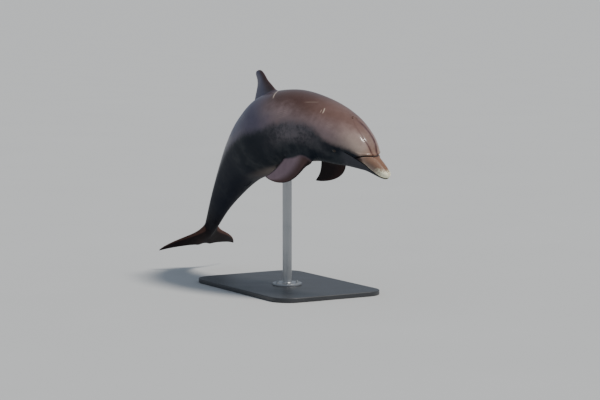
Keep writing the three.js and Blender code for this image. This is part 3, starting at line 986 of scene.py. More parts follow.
@dataclass
class EyePlace:
    """One eye's ball, and the lids of skin round it."""

    body: Body
    side: Side
    station: float = 348.0
    angle: float = 101.0  # round the body from the back
    ball: float = 19.0  # the ball's radius
    sink: float = 11.0  # how far its middle lies below the skin
    lid: float = 2.0  # the lids' thickness over it
    soft: float = 2.2  # how gently the lids' swell runs out into the head
    half_length: float = 13.5
    half_height: float = 7.2  # of the opening above the corners; it is a little less below
    inside: float = 15.5  # the skin's distance from the ball's middle inside the opening
    reach: float = 60.0  # how far from the ball's middle the skin is shaped
    fold: Ridge = Ridge(-0.9, 5.5, 1.5)  # outside the opening's edge
    brow: Ridge = Ridge(1.3, 10.0, 4.5)

    def __post_init__(self) -> None:
        """Finds the ball's middle and the directions ahead, up and out at the eye."""
        angle = self.side.value * math.radians(self.angle)
        at = np.array(self.station)
        point = self.body.surface(at, np.array(angle))
        step = self.body.surface(at, np.array(angle + 0.002)) - point
        ahead = self.body.surface(at - 1, np.array(angle)) - point
        out, (forward, up, _) = unit(np.cross(ahead, step)), self.body.spine.axes(at)
        self.out = out * np.sign(dot(out, point - self.body.spine.at(at)))
        self.ahead = unit(forward - self.out * dot(forward, self.out))
        above = np.cross(self.out, self.ahead)
        self.up = above * np.sign(dot(above, up))
        self.centre = point - self.out * self.sink

    def shape(self, points: np.ndarray) -> np.ndarray:
        """Moves skin near the eye into lids that follow the ball, parted by an almond opening.

        Outside the opening a point keeps the larger of its own distance from the
        ball's middle and the lids' radius, by a smooth maximum. Inside it drops
        behind the ball's face. The opening is a lens between two parabolas.

        Args:
            points: rows of x, y and z.

        Returns:
            The moved points.
        """
        offset = points - self.centre
        distance = np.linalg.norm(offset, axis=1)
        near = distance < self.reach
        offset, distance = offset[near], distance[near]
        x, y, out = dot(offset, self.ahead), dot(offset, self.up), dot(offset, self.out)
        lids = self.ball + self.lid
        swell = self.soft * np.logaddexp(distance / self.soft, lids / self.soft)
        half = self.half_height * (1 - (x / self.half_length) ** 2)
        off = np.where(y > 0, y - half, -y - 0.8 * half)
        off = np.maximum(off, (np.abs(x) - self.half_length) * 0.6)
        fold = self.fold(off) * ease(np.abs(x), 24, 12)
        wanted = swell + fold + self.brow(off) * (y > 0) * bell(x, 26)
        wanted = wanted + (self.inside - wanted) * ease(off, 1.6, -2.0)
        wanted = np.where(out > 0, wanted, distance)
        moved = points.copy()
        moved[near] = self.centre + offset / distance[:, None] * wanted[:, None]
        return moved


@dataclass
class Skin:
    """The dolphin's one skin over its body and all of its fins."""

    body: Body
    fins: list[Fin]
    eyes: list[EyePlace]
    columns: int = 196
    mouth: Mouth = Mouth()
    crease: Crease = Crease()
    bridle: Bridle = Bridle()
    blowhole: Blowhole = Blowhole()
    slits: Sequence[Slit] = (
        Slit(1238, 0, 10, 3.2, 2.4),  # navel
        Slit(1668, 0, 92, 3.0, 4.0),  # vent
        Slit(1792, 0, 20, 3.0, 3.4),  # its rear opening
        Slit(1700, 17, 26, 2.2, 1.8),  # teats, left and right
        Slit(1700, -17, 26, 2.2, 1.8),
        Slit(412, 60, 1.0, 1.8, 2.0, under=False, height=20.0),  # ear holes
    )
    folds: Sequence[Fold] = (
        Fold(452, 34, 96, 168, 1.1, 5.0),  # throat and neck
        Fold(497, 40, 104, 172, 0.9, 5.5),
        Fold(556, 30, 112, 160, 0.7, 6.0),
        Fold(1046, -26, 2, 30, 1.6, 5.0),  # in front of the dorsal fin
        Fold(2262, 20, 40, 140, 0.8, 6.0),  # in front of the flukes
        Fold(2308, 16, 46, 134, 0.9, 6.0),
    )
    # station, and the angle in degrees from the back where the painted shade of the lower flank starts
    # there
    painted_shade_line: Rows = (
        (0, 118), (150, 98), (188, 73), (206, 68), (242, 69), (302, 70), (350, 71), (396, 74),
        (430, 75), (484, 69), (554, 64), (610, 62), (698, 66), (774, 71), (840, 77), (918, 85),
        (1020, 90), (1150, 90), (1342, 92), (1520, 87), (1700, 77), (1872, 64), (2100, 45),
        (2400, 40))
    fillet_reach: float = 17.0  # how far the soft joint of a fin spreads
    fillet_share: float = 0.85  # how much of the way to its neighbours' mean a point there moves
    fillet_rounds: int = 26
    # start, end and spacing of the rings along the body
    spacing: Sequence[tuple[float, float, float]] = (
        (20, 136, 4.0), (136, 232, 1.7), (232, 322, 3.6), (322, 374, 1.4), (374, 412, 1.8),
        (412, 520, 6.0), (520, 1020, 12.0), (1020, 1110, 6.0), (1110, 1560, 12.0),
        (1560, 1820, 8.0), (1820, 2475, 10.5))

    def stations(self) -> np.ndarray:
        """Stations of the rings, close together where the skin has detail."""
        tip = 20 * (np.arange(1, 16) / 15.0) ** 2
        runs = [np.linspace(a, b, math.ceil((b - a) / step) + 1)[1:] for a, b, step in self.spacing]
        return np.concatenate([[0.02], tip, *runs])

    def angles(self, station: np.ndarray) -> np.ndarray:
        """Angles round each ring, close together along the mouth, the eyes and the blowhole.

        The density of lines is 1 plus bell curves over those places; the angles are
        where its running sum passes even shares.

        Args:
            station: stations of the rings.

        Returns:
            Rows of angles in radians, from -pi up.
        """
        line, eye = SmoothCurve(self.mouth.line), self.eyes[0]
        mouth = self.body.angle_at_height(station, line(station))
        share = ease(station, self.mouth.line[-1][0], eye.station - 12)
        centre = mouth * (1 - share) + math.radians(eye.angle) * share
        near_eye = bell(station - eye.station, 40)
        strength = (3 + 2.2 * near_eye) * ease(station, 540, 430)
        spread = np.radians(12 - 3.5 * near_eye)
        crown = 3.4 * bell(station - self.blowhole.station, 38)
        fine = np.linspace(0, np.pi, 721)
        density = (1 + strength[:, None] * bell(fine - centre[:, None], spread[:, None])
                   + crown[:, None] * bell(fine, 0.22) + 0.5 * bell(fine - np.pi, 0.18))
        total = np.cumsum((density[:, 1:] + density[:, :-1]) / 2, 1)
        total = np.hstack([np.zeros((len(station), 1)), total]) / total[:, -1:]
        even = np.linspace(0, 1, self.columns // 2 + 1)
        half = np.stack([np.interp(even, row, fine) for row in total])
        return np.hstack([-half[:, :0:-1], half[:, :-1]])

    def body_shell(self) -> Shell:
        """The body's grid of rings."""
        station = self.stations()
        angle = self.angles(station)
        return Shell(self.body.surface(np.repeat(station[:, None], angle.shape[1], 1), angle))

    def joined(self) -> bpy.types.Object:
        """The body and fins joined into one closed mesh, with nothing left inside."""
        base = put_mesh("skin", [self.body_shell()])
        parts = [put_mesh(fin.name + "_blank", [fin.shell()]) for fin in self.fins]
        for part in parts:
            join = base.modifiers.new("join_" + part.name, "BOOLEAN")
            join.operation, join.solver, join.object = "UNION", "MANIFOLD", part
        view = bpy.context.evaluated_depsgraph_get()
        whole = bpy.data.meshes.new_from_object(base.evaluated_get(view))
        base.modifiers.clear()
        blank, base.data = base.data, whole
        bpy.data.meshes.remove(blank)
        for part in parts:
            spare = part.data
            bpy.data.objects.remove(part)
            bpy.data.meshes.remove(spare)
        return base

    def places(self, points: np.ndarray) -> Places:
        """Where points lie along, across and off the body."""
        station, left, height = self.body.locate(points)
        out = self.body.share_out(station, left, height)
        outside = np.clip(out - 1, 0, None) / out * np.hypot(left, height)
        return Places(station, left, height, outside)

    def soften(self, mesh: bpy.types.Mesh, weight: np.ndarray, rounds: int) -> None:
        """Rounds the mesh where the weight is high.

        In each round a point moves by its weight toward the mean of its neighbours.

        Args:
            mesh: the mesh to change.
            weight: share of the way, 0 to 1, for each point.
            rounds: how many times.
        """
        a, b = read_rows(mesh.edges, "vertices", 2, np.int32).T
        both, other = np.concatenate([a, b]), np.concatenate([b, a])
        points = vertex_array(mesh)
        count = np.maximum(np.bincount(both, minlength=len(points)), 1)
        for _ in range(rounds):
            mean = np.stack([np.bincount(both, points[other, k], len(points)) for k in range(3)], -1)
            points += (mean / count[:, None] - points) * weight[:, None]
        set_vertices(mesh, points)

    def fillet(self, mesh: bpy.types.Mesh) -> None:
        """Blends each fin into the body by softening the skin near their joint."""
        points = vertex_array(mesh)
        at = self.places(points)
        weight = np.zeros(len(points))
        for fin in self.fins:
            off = fin.where(points)["off"]
            weight = np.maximum(weight, bell(np.hypot(off, at.outside), self.fillet_reach))
        self.soften(mesh, self.fillet_share * weight, self.fillet_rounds)

    def detail(self, mesh: bpy.types.Mesh) -> None:
        """Moves the skin out and in by all its details, then shapes the eyelids."""
        points = vertex_array(mesh)
        at = self.places(points)
        on_body = ease(at.outside, 16, 4)
        lines = (self.mouth, self.crease, self.bridle, self.blowhole)
        relief = sum(detail.relief(at) for detail in (*lines, *self.slits, *self.folds)) * on_body
        forward, jaw = self.body.spine.axes(at.station)[0], self.mouth.jaw_shift(at)
        points = points + outward_normals(mesh) * relief[:, None] + forward * jaw[:, None]
        for eye in self.eyes:
            points = eye.shape(points)
        set_vertices(mesh, points)

    def mark(self, mesh: bpy.types.Mesh) -> None:
        """Stores what the finish reads at each point.

        Station, angle and side are the place on the body. The rest are shares from
        0 to 1: of the bridle's dark lines, of painted shade in the mouth and the fold,
        of the lips, of the jaw's painted shade, and of each kind of fin and its edges.
        "low" is the angle below the line where the painted shade of the lower flank starts.
        """
        points = vertex_array(mesh)
        at = self.places(points)
        mouth, fold, off = self.mouth.off_line(at), self.crease.off_fold(at), self.bridle.off_line(at)
        body, snout = ease(at.outside, 12, 4), ease(at.station, 294, 276)
        stored = {
            "station": at.station * MM,
            "around": np.degrees(at.around) / 180,
            "left": at.left * MM,
            # painted shade: how far a point lies below the line where the lower flank's painted shade
            # starts
            "low": (np.degrees(at.around) - SmoothCurve(self.painted_shade_line)(at.station)) / 180,
            # mouth and fold carry painted shade in the mouth's groove and the fold under the melon
            "mouth": bell(mouth, 2.4) * snout * body,
            "fold": bell(fold + 0.6, 4.6) * np.sqrt(self.crease.strength(at)) * (at.station < 260),
            # the jaw's share carries painted shade below the mouth, with a bluish painted reflection
            "jaw": ease(mouth, 0.5, -3.5) * ease(at.station, 330, 262) * body,
            "lip": bell(mouth - 4.5, 2.6) * ease(at.station, 200, 120) * body,
            "bridle": self.bridle.colour(at),
            "band": ease(off, 0, -16) * self.bridle.here(at) * ease(at.station, 340, 220),
        }
        stored |= {key: np.zeros(len(points)) for key in ("paddle", "dorsal", "lead", "rim", "under")}
        for fin in self.fins:
            found, kind = fin.where(points), fin.kind
            here = ease(found["off"], 9, 2) * ease(at.outside, kind.start, kind.start + 15)
            lead = ease(found["chord"], 0.50, 0.10)
            rim = np.maximum(ease(found["chord"], 0.91, 0.98), ease(found["span"], 0.95, 0.995))
            # the thin front edge's dark rim is painted shade
            rim = np.maximum(rim, ease(found["chord"], 0.05, 0.0))
            # the blades' lower faces, where the finish paints shade on the flippers
            under = ease(found["side"], 2, -2) * (kind is not FinKind.DORSAL)
            for key, value in ((kind.share, 1.0), ("lead", lead), ("rim", rim), ("under", under)):
                stored[key] = np.maximum(stored[key], here * value)
        for key, value in stored.items():
            add_attribute(mesh, key, value)

    def build(self) -> bpy.types.Object:
        """Joins, rounds, details and marks the skin."""
        skin = self.joined()
        self.fillet(skin.data)
        self.detail(skin.data)
        self.mark(skin.data)
        skin.data.shade_smooth()
        return skin


# ---------------------------------------------------------------- finishes


def operation(name: str, swapped: bool = False) -> Callable[["Number", "Number | float"], "Number"]:
    """Makes the method behind one of a Number's arithmetic signs.

    Args:
        name: the Math node's operation.
        swapped: whether the other value comes first, as in 1 - mask.

    Returns:
        The method.
    """

    def method(self: "Number", other: "Number | float") -> "Number":
        """The operation on the number and another value."""
        return self.calculate(name, other, self) if swapped else self.calculate(name, self, other)

    return method


class Number:
    """A number in a material's node tree, with the usual arithmetic."""

    __add__, __radd__ = operation("ADD"), operation("ADD", swapped=True)
    __sub__, __rsub__ = operation("SUBTRACT"), operation("SUBTRACT", swapped=True)
    __mul__, __rmul__ = operation("MULTIPLY"), operation("MULTIPLY", swapped=True)
    __truediv__, __rtruediv__ = operation("DIVIDE"), operation("DIVIDE", swapped=True)
    __pow__, __rpow__ = operation("POWER"), operation("POWER", swapped=True)

    def __init__(self, nodes: "Nodes", socket: bpy.types.NodeSocket) -> None:
        """Wraps one output socket."""
        self.nodes, self.socket = nodes, socket

    def calculate(self, name: str, *values: "Number | float") -> "Number":
        """A Math node over the values, in order."""
        made = self.nodes.node("ShaderNodeMath", {"operation": name}, dict(enumerate(values)))
        return Number(self.nodes, made.outputs[0])

    def __abs__(self) -> "Number":
        """The number without its sign."""
        return self.calculate("ABSOLUTE", self)

    def ease(self, low: float, high: float) -> "Number":
        """Smooth step, 0 at low and 1 at high; low may be above high."""
        flip = low > high
        made = self.nodes.node(
            "ShaderNodeMapRange", {"interpolation_type": "SMOOTHSTEP"},
            {0: self, 1: min(low, high), 2: max(low, high), 3: float(flip), 4: float(not flip)})
        return Number(self.nodes, made.outputs[0])

    def bell(self, centre: float, width: float) -> "Number":
        """Bell curve, exp(-((self - centre) / width) squared)."""
        far = (self - centre) / width
        return self.calculate("EXPONENT", far * far * -1.0)

    def rounded(self) -> "Number":
        """The nearest whole number."""
        return self.calculate("ROUND", self)


class Nodes:
    """A new material's node tree, with the shader's own constants."""

    def __init__(self, name: str, **constants: float | tuple[float, ...]) -> None:
        """Makes the material and its shader.

        Args:
            name: the material's name.
            constants: shader inputs that are the same all over, by name with _ for a space.
        """
        self.material = bpy.data.materials.new(name)
        self.material.use_nodes = True
        self.tree = self.material.node_tree
        self.tree.nodes.clear()
        self.shader = self.node("ShaderNodeBsdfPrincipled")
        output = self.node("ShaderNodeOutputMaterial")
        self.tree.links.new(self.shader.outputs[0], output.inputs[0])
        for key, value in constants.items():
            self.shader.inputs[key.replace("_", " ")].default_value = value

    def node(self, kind: str, settings: dict | None = None,
             inputs: dict | None = None) -> bpy.types.Node:
        """Adds a node.

        Args:
            kind: Blender's name of the node's type.
            settings: the node's own settings by name.
            inputs: its inputs by name or number: numbers, colours or outputs of others.

        Returns:
            The node.
        """
        made = self.tree.nodes.new(kind)
        for key, value in (settings or {}).items():
            setattr(made, key, value)
        for key, value in (inputs or {}).items():
            self.feed(made.inputs[key], value)
        return made

    def feed(self, socket: bpy.types.NodeSocket, value: object) -> None:
        """Links an output to a socket, or sets the socket's own value."""
        if isinstance(value, Number):
            value = value.socket
        if isinstance(value, bpy.types.NodeSocket):
            self.tree.links.new(value, socket)
        elif isinstance(value, tuple) and len(value) == 3 and socket.type == "RGBA":
            socket.default_value = (*value, 1.0)
        else:
            socket.default_value = value

    def attribute(self, name: str) -> Number:
        """A number stored on the mesh."""
        made = self.node("ShaderNodeAttribute", {"attribute_name": name})
        return Number(self, made.outputs["Fac"])

    def position(self) -> bpy.types.NodeSocket:
        """Place on the object, in metres."""
        return self.node("ShaderNodeTexCoord").outputs["Object"]

    def stretched(self, scale: tuple[float, float, float],
                  turn: tuple[float, float, float] = (0.0, 0.0, 0.0)) -> bpy.types.NodeSocket:
        """Place on the object, turned and scaled along its axes."""
        return self.node("ShaderNodeMapping", {}, {
            "Vector": self.position(), "Scale": scale, "Rotation": turn}).outputs[0]

    def noise(self, scale: float, detail: float = 3.0, roughness: float = 0.5,
              vector: bpy.types.NodeSocket | None = None) -> Number:
        """Soft random pattern about 0.5, so many cycles to a metre."""
        made = self.node("ShaderNodeTexNoise", {}, {
            "Vector": vector or self.position(), "Scale": scale, "Detail": detail,
            "Roughness": roughness})
        return Number(self, made.outputs[0])

    def spots(self, scale: float, vector: bpy.types.NodeSocket | None = None) -> Number:
        """Distance from scattered points, 0 at each."""
        made = self.node("ShaderNodeTexVoronoi", {}, {
            "Vector": vector or self.position(), "Scale": scale})
        return Number(self, made.outputs["Distance"])

    def mix(self, share: Number | float, first: object, second: object) -> bpy.types.NodeSocket:
        """Colour between two others: the first at 0, the second at 1."""
        made = self.node("ShaderNodeMix", {"data_type": "RGBA"}, {0: share, 6: first, 7: second})
        return made.outputs[2]

    def tint(self, colour: object, factor: Number) -> bpy.types.NodeSocket:
        """A colour made darker or lighter by a number near 1."""
        made = self.node("ShaderNodeVectorMath", {"operation": "SCALE"}, {0: colour, "Scale": factor})
        return made.outputs[0]

    def bump(self, height: Number, distance: float, strength: float = 1.0) -> None:
        """Gives the shader a fine relief.

        Args:
            height: the relief's pattern.
            distance: its depth in metres where the pattern is 1.
            strength: how much of it shows.
        """
        made = self.node("ShaderNodeBump", {}, {
            "Height": height, "Distance": distance, "Strength": strength})
        self.feed(self.shader.inputs["Normal"], made.outputs[0])

    def finish(self, colour: object, roughness: Number | float) -> bpy.types.Material:
        """Sets the shader's colour and roughness and hands over the material."""
        self.feed(self.shader.inputs["Base Color"], colour)
        self.feed(self.shader.inputs["Roughness"], roughness)
        return self.material


@dataclass(frozen=True)
class Scratch:
    """Healed scratches on the skin: one line or several side by side, a little curved."""

    station: float  # metres back from the beak's tip
    around: float  # share of the way from back to belly
    side: Side
    heading: float  # degrees from straight back toward the belly
    length: float  # metres
    width: float
    lines: int = 1
    spacing: float = 0.012
    curve: float = 1.5
    girth: float = 0.70  # metres from back to belly round the skin
    strength: float = 0.4

    def share(self, n: Nodes) -> Number:
        """How much of a scratch is at a point.

        Along and across are the place on the skin turned by the heading. Across is
        folded to the nearest of the lines, and bell curves and smooth steps bound it.
        """
        back = n.attribute("station") - self.station
        down = (n.attribute("around") - self.around) * self.girth
        turn = math.radians(self.heading)
        along = back * math.cos(turn) + down * math.sin(turn)
        across = down * math.cos(turn) - back * math.sin(turn) + along * along * self.curve
        if self.lines > 1:
            start = 0.5 * ((self.lines + 1) % 2)
            line = ((across / self.spacing + start).rounded() - start) * self.spacing
            half = self.spacing * self.lines / 2
            reach = abs(across).ease(half, half - self.spacing * 0.3)
            mark = (across - line).bell(0, self.width) * reach
        else:
            mark = across.bell(0, self.width)
        here = n.attribute("left").ease(0.0, 0.02 * self.side.value)
        return mark * abs(along).ease(self.length / 2, self.length / 5) * here * self.strength


@dataclass(frozen=True)
class SkinFinish:
    """Wet, smooth skin: brown cape, mauve-grey flanks, and painted shade, near black, on the lower
    sides and the tail.
    """

    cape_edge: float = 0.265  # share of the way round from back to belly
    cape_soft: float = 0.095
    cape: Colour = (0.138, 0.080, 0.067)
    saddle: Colour = (0.066, 0.031, 0.024)  # the back in front of the dorsal fin
    flank: Colour = (0.255, 0.180, 0.178)
    cheek: Colour = (0.340, 0.265, 0.225)
    mauve: Colour = (0.060, 0.057, 0.104)  # dorsal fin and the back behind it
    # painted shade: near black for the lower flank below the painted shade line
    low: Colour = (0.006, 0.010, 0.017)
    painted_shade_mottle: Colour = (0.031, 0.036, 0.042)  # lighter patches in the painted shade of the lower flank and the tail
    haze: Colour = (0.128, 0.113, 0.124)  # marbling on the chest, lighter than the painted shade it lies in near its edge
    belly: Colour = (0.150, 0.116, 0.102)
    slate: Colour = (0.008, 0.011, 0.021)  # the tail's dark grey deepened to near-black blue-grey as painted shade
    snout: Colour = (0.190, 0.100, 0.062)
    # painted shade below the mouth, with a bluish painted reflection
    jaw: Colour = (0.054, 0.055, 0.065)
    cream: Colour = (0.98, 0.93, 0.68)  # tip of the beak
    maroon: Colour = (0.042, 0.013, 0.015)  # bridle lines
    groove: Colour = (0.012, 0.009, 0.010)  # painted shade in the mouth's groove and the fold
    paddle: Colour = (0.240, 0.168, 0.190)  # flippers
    edge: Colour = (0.062, 0.033, 0.028)  # their front edges
    umber: Colour = (0.013, 0.009, 0.010)  # painted shade, near black, on the end of the tail and the flukes
    fluke: Colour = (0.135, 0.066, 0.052)  # painted highlight: reddish brown along the flukes' front edges
    rim: Colour = (0.008, 0.006, 0.007)  # the fins' thin dark edges, with painted shade along the flippers' front edges and over their undersides
    scar: Colour = (0.62, 0.50, 0.40)
    scratches: Sequence[Scratch] = (
        Scratch(0.534, 0.153, Side.RIGHT, 119, 0.062, 0.0030, curve=4.0, strength=0.8),
        Scratch(0.546, 0.172, Side.RIGHT, 112, 0.036, 0.0022, curve=3.0, strength=0.45),
        Scratch(0.656, 0.128, Side.RIGHT, 34, 0.105, 0.0022, strength=0.28),
        Scratch(0.987, 0.134, Side.RIGHT, 124, 0.135, 0.0038, curve=-1.0, strength=0.9),
        Scratch(0.800, 0.330, Side.RIGHT, 24, 0.120, 0.0018, 4, 0.012, 1.2, strength=0.12),
        Scratch(1.240, 0.330, Side.RIGHT, -32, 0.130, 0.0020, 3, 0.013, -1.4, strength=0.14),
        Scratch(0.430, 0.260, Side.RIGHT, 48, 0.070, 0.0016, 3, 0.009, 2.0, strength=0.12),
        Scratch(0.690, 0.240, Side.LEFT, 35, 0.150, 0.0020, 4, 0.013, -1.2, strength=0.16),
        Scratch(1.330, 0.280, Side.LEFT, -20, 0.140, 0.0020, 3, 0.014, 1.0, strength=0.16),
        Scratch(0.520, 0.190, Side.LEFT, 70, 0.060, 0.0026, curve=-3.0, strength=0.5),
    )

    def upper(self, n: Nodes, cloud: Number, mottle: Number) -> bpy.types.NodeSocket:
        """Cape, flank, cheek and the mauve rear back, with borders shifted by soft noise."""
        station, around = n.attribute("station"), n.attribute("around")
        angle = around + (cloud - 0.5) * 0.14 + (mottle - 0.5) * 0.06 + station.ease(0.52, 0.34) * 0.08
        back = n.mix((station + (cloud - 0.5) * 0.2).ease(0.48, 0.78), self.cape, self.saddle)
        soft = 1.0 - station.ease(0.60, 0.36) * 0.45  # the cape's edge is softer on the head
        past = ((angle - self.cape_edge) * soft).ease(-self.cape_soft, self.cape_soft)
        colour = n.mix(past, back, self.flank)
        cheek = station.ease(0.44, 0.20) * angle.ease(0.14, 0.36)
        colour = n.mix(cheek, colour, self.cheek)
        rear = (station + (cloud - 0.5) * 0.2 + around * 0.5).ease(1.02, 1.30)
        return n.mix(rear * 0.85, colour, self.mauve)

    def lower(self, n: Nodes, colour: object, cloud: Number, mottle: Number) -> bpy.types.NodeSocket:
        """Adds the painted shade of the lower flank with its lighter patches and marbled haze, the
        belly, and the tail's painted shade.
        """
        station, around = n.attribute("station"), n.attribute("around")
        low = n.attribute("low") + (cloud - 0.5) * 0.08 + (mottle - 0.5) * 0.07
        patch = n.noise(9, 4, 0.6).ease(0.46, 0.66) * n.noise(2.6, 2).ease(0.40, 0.58)
        dark = n.mix(patch * 0.75, self.low, self.painted_shade_mottle)
        marble = n.noise(24, 5, 0.75).ease(0.30, 0.66)
        veil = station.bell(0.69, 0.19) * low.ease(0.27, 0.10) * (marble * 0.9 + 0.35)
        dark = n.mix(veil, dark, self.haze)
        # painted shade: the flank below its line goes near black
        colour = n.mix(low.ease(-0.050, 0.045), colour, dark)
        belly = (around + (cloud - 0.5) * 0.06).ease(0.86, 0.965)
        colour = n.mix(belly * 0.9, colour, self.belly)
        # painted shade: the tail goes near black, blue-grey forward and umber toward its end
        tail = (station + (cloud - 0.5) * 0.22 + around * 0.3).ease(1.45, 1.95)
        stock = n.mix(station.ease(2.05, 2.38) * 0.9, self.slate, self.umber)
        return n.mix(tail, colour, n.mix(patch * 0.35, stock, self.painted_shade_mottle))

    def face(self, n: Nodes, colour: object, mottle: Number, fine: Number) -> bpy.types.NodeSocket:
        """Adds the snout's brown, the jaw's painted shade and bluish painted reflection, the bridle,
        the speckled cream tip, and painted shade in the mouth and the fold.
        """
        station = n.attribute("station")
        snout = station.ease(0.215, 0.150) * n.attribute("around").ease(0.66, 0.34)
        colour = n.mix(snout * 0.8, colour, self.snout)
        # painted shade on the jaw, with a bluish painted reflection
        colour = n.mix(n.attribute("jaw") * 0.92, colour, self.jaw)
        streak = n.noise(60, 3, 0.6).ease(0.30, 0.60) * 0.4 + 0.6
        colour = n.mix(n.attribute("band") * streak * 0.34, colour, self.cheek)
        right = n.attribute("left").ease(0.0, -0.02) * station.ease(0.22, 0.30)
        colour = n.mix(n.attribute("bridle") * streak * (0.92 - right * 0.6), colour, self.maroon)
        speck = n.spots(190).ease(0.50, 0.24) * 0.45 + fine.ease(0.42, 0.58) * 0.75
        top = 1.0 - n.attribute("around").ease(0.10, 0.42)
        reach = station + (mottle - 0.5) * 0.11 + top * 0.045
        bare = 1.0 - n.attribute("jaw") * 0.9
        spot = station.ease(0.15, 0.06) * n.spots(85).ease(0.30, 0.14) * mottle.ease(0.42, 0.60)
        colour = n.mix(spot * bare * 0.3, colour, self.cream)
        colour = n.mix(n.attribute("lip") * speck * 0.75, colour, self.cream)
        colour = n.mix(reach.ease(0.086, 0.042) * speck.ease(0.15, 0.60) * bare, colour, self.cream)
        worn = 1.0 - n.spots(110).ease(0.30, 0.12) * mottle.ease(0.40, 0.55) * 0.85
        colour = n.mix(reach.ease(0.058, 0.026) * worn * bare, colour, self.cream)
        # painted shade in the mouth's groove and the fold under the melon
        line = n.attribute("mouth") + n.attribute("fold")
        return n.mix(line.ease(0.12, 0.85), colour, self.groove)

    def fins(self, n: Nodes, colour: object) -> bpy.types.NodeSocket:
        """Adds the fins: mauve back fin, pale flippers, brown flukes, browner fronts with a painted
        highlight along the flukes', dark rims partly of painted shade, and painted shade on the
        flippers' undersides.
        """
        station, paddle, dorsal = (n.attribute(k) for k in ("station", "paddle", "dorsal"))
        lead, under, rim = (n.attribute(k) for k in ("lead", "under", "rim"))
        aft = station.ease(1.2, 1.8)  # 0 on the flippers and 1 on the flukes
        colour = n.mix(dorsal * 0.8, colour, self.mauve)
        flukes = n.mix(n.noise(9, 3).ease(0.40, 0.70) * 0.22, self.umber, self.edge)
        colour = n.mix(paddle, colour, n.mix(aft, self.paddle, flukes))
        # painted shade: the flippers' undersides go near black
        colour = n.mix(under * (1.0 - aft) * 0.96, colour, self.rim)
        # browner fronts; the flukes' reddish brown front edges are a painted highlight
        front = lead * (1.0 - aft) * (1.0 - under * 0.6) + lead.ease(0.62, 1.0) * aft * 0.7
        colour = n.mix(front * 0.9, colour, n.mix(aft, self.edge, self.fluke))
        # dark rims, painted shade along the flippers' front edges
        return n.mix(rim * paddle * (1.0 - aft * lead) * 0.85, colour, self.rim)

    def dress(self) -> bpy.types.Material:
        """The material: colours by place, marks, mottling, and a wet coat on the upper side."""
        n = Nodes("wet_skin", Coat_Roughness=0.10, IOR=1.40, Specular_IOR_Level=0.15)
        cloud, mottle, fine = n.noise(5, 3), n.noise(26, 4, 0.6), n.noise(190, 3, 0.6)
        colour = self.lower(n, self.upper(n, cloud, mottle), cloud, mottle)
        colour = self.fins(n, self.face(n, colour, mottle, fine))
        shade = (cloud - 0.5) * 0.30 + (mottle - 0.5) * 0.36 + (fine - 0.5) * 0.12 + 1.0
        colour = n.tint(colour, shade)
        for scratch in self.scratches:
            colour = n.mix(scratch.share(n), colour, self.scar)
        n.bump(mottle * 0.6 + fine * 0.25 + n.noise(700, 2) * 0.12, 0.0012, 0.35)
        low = n.attribute("low").ease(-0.10, 0.10)
        wet = (1.0 - low) * n.attribute("station").ease(0.10, 0.24) * (0.20 + (mottle - 0.5) * 0.3)
        n.feed(n.shader.inputs["Coat Weight"], wet)
        return n.finish(colour, 0.33 + low * 0.27 + (mottle - 0.5) * 0.2 + (fine - 0.5) * 0.1)


@dataclass(frozen=True)
class EyeFinish:
    """Dark brown glass eye with a wide black pupil and a clear coat."""

    iris: Colour = (0.026, 0.013, 0.009)
    rim: Colour = (0.012, 0.007, 0.006)
    pupil: Colour = (0.002, 0.002, 0.002)

    def dress(self) -> bpy.types.Material:
        """The material, from the ball's own shares ahead and up."""
        n = Nodes("glass_eye", Coat_Weight=0.7, Coat_Roughness=0.04, Coat_IOR=1.4,
                  Specular_IOR_Level=0.1)
        x, y = n.attribute("ahead"), n.attribute("above")
        streak = n.noise(900, 2)
        ring = (x * x + y * y) ** 0.5
        wide = ((x / 0.34) * (x / 0.34) + (y / 0.2) * (y / 0.2)) ** 0.5
        colour = n.mix(ring.ease(0.5, 0.62), n.tint(self.iris, streak + 0.6), self.rim)
        colour = n.mix(wide.ease(1.08, 0.92), colour, self.pupil)
        return n.finish(colour, 0.08 + streak * 0.04)


@dataclass(frozen=True)
class PaintFinish:
    """Charcoal satin paint on a board, a little worn along its edges."""

    paint: Colour = (0.030, 0.032, 0.036)
    worn: Colour = (0.085, 0.085, 0.085)

    def dress(self) -> bpy.types.Material:
        """The material: fine roller texture, faint dust, and lighter edges."""
        n = Nodes("charcoal_paint", Coat_Weight=0.15, Coat_Roughness=0.3)
        edge, cloud, roll = n.attribute("edge"), n.noise(6, 3), n.noise(420, 3, 0.6)
        wear = edge * n.noise(90, 4, 0.6).ease(0.50, 0.75)
        colour = n.mix(wear * 0.25, n.tint(self.paint, 0.8 + cloud * 0.4), self.worn)
        n.bump(roll, 0.0005, 0.5)
        return n.finish(colour, 0.40 + cloud * 0.16 + (roll - 0.5) * 0.08)


@dataclass(frozen=True)
class SteelFinish:
    """Brushed stainless steel, brushed round the rod."""

    steel: Colour = (0.42, 0.43, 0.44)

    def dress(self) -> bpy.types.Material:
        """The material: fine rings of brush marks, with faint handling marks."""
        n = Nodes("brushed_steel", Metallic=1.0)
        brush = n.noise(1.0, 3, 0.7, n.stretched((6.0, 6.0, 1500.0)))
        hands = n.noise(14, 4, 0.6)
        n.bump(brush, 0.0002, 0.5)
        worn = hands.ease(0.4, 0.8)
        return n.finish(n.tint(self.steel, 0.80 + brush * 0.36), 0.32 + brush * 0.16 + worn * 0.12)


@dataclass(frozen=True)
class RubberFinish:
    """Matte black moulded rubber with a fine grain."""

    rubber: Colour = (0.016, 0.016, 0.017)
    chalk: Colour = (0.06, 0.06, 0.06)

    def dress(self) -> bpy.types.Material:
        """The material: pebbled grain and a little chalky bloom."""
        n = Nodes("moulded_rubber", Specular_IOR_Level=0.35)
        grain, bloom = n.spots(650), n.noise(22, 4, 0.6)
        n.bump(grain, 0.0006, 0.6)
        return n.finish(n.mix(bloom.ease(0.5, 0.8) * 0.5, self.rubber, self.chalk), 0.68 + bloom * 0.2)


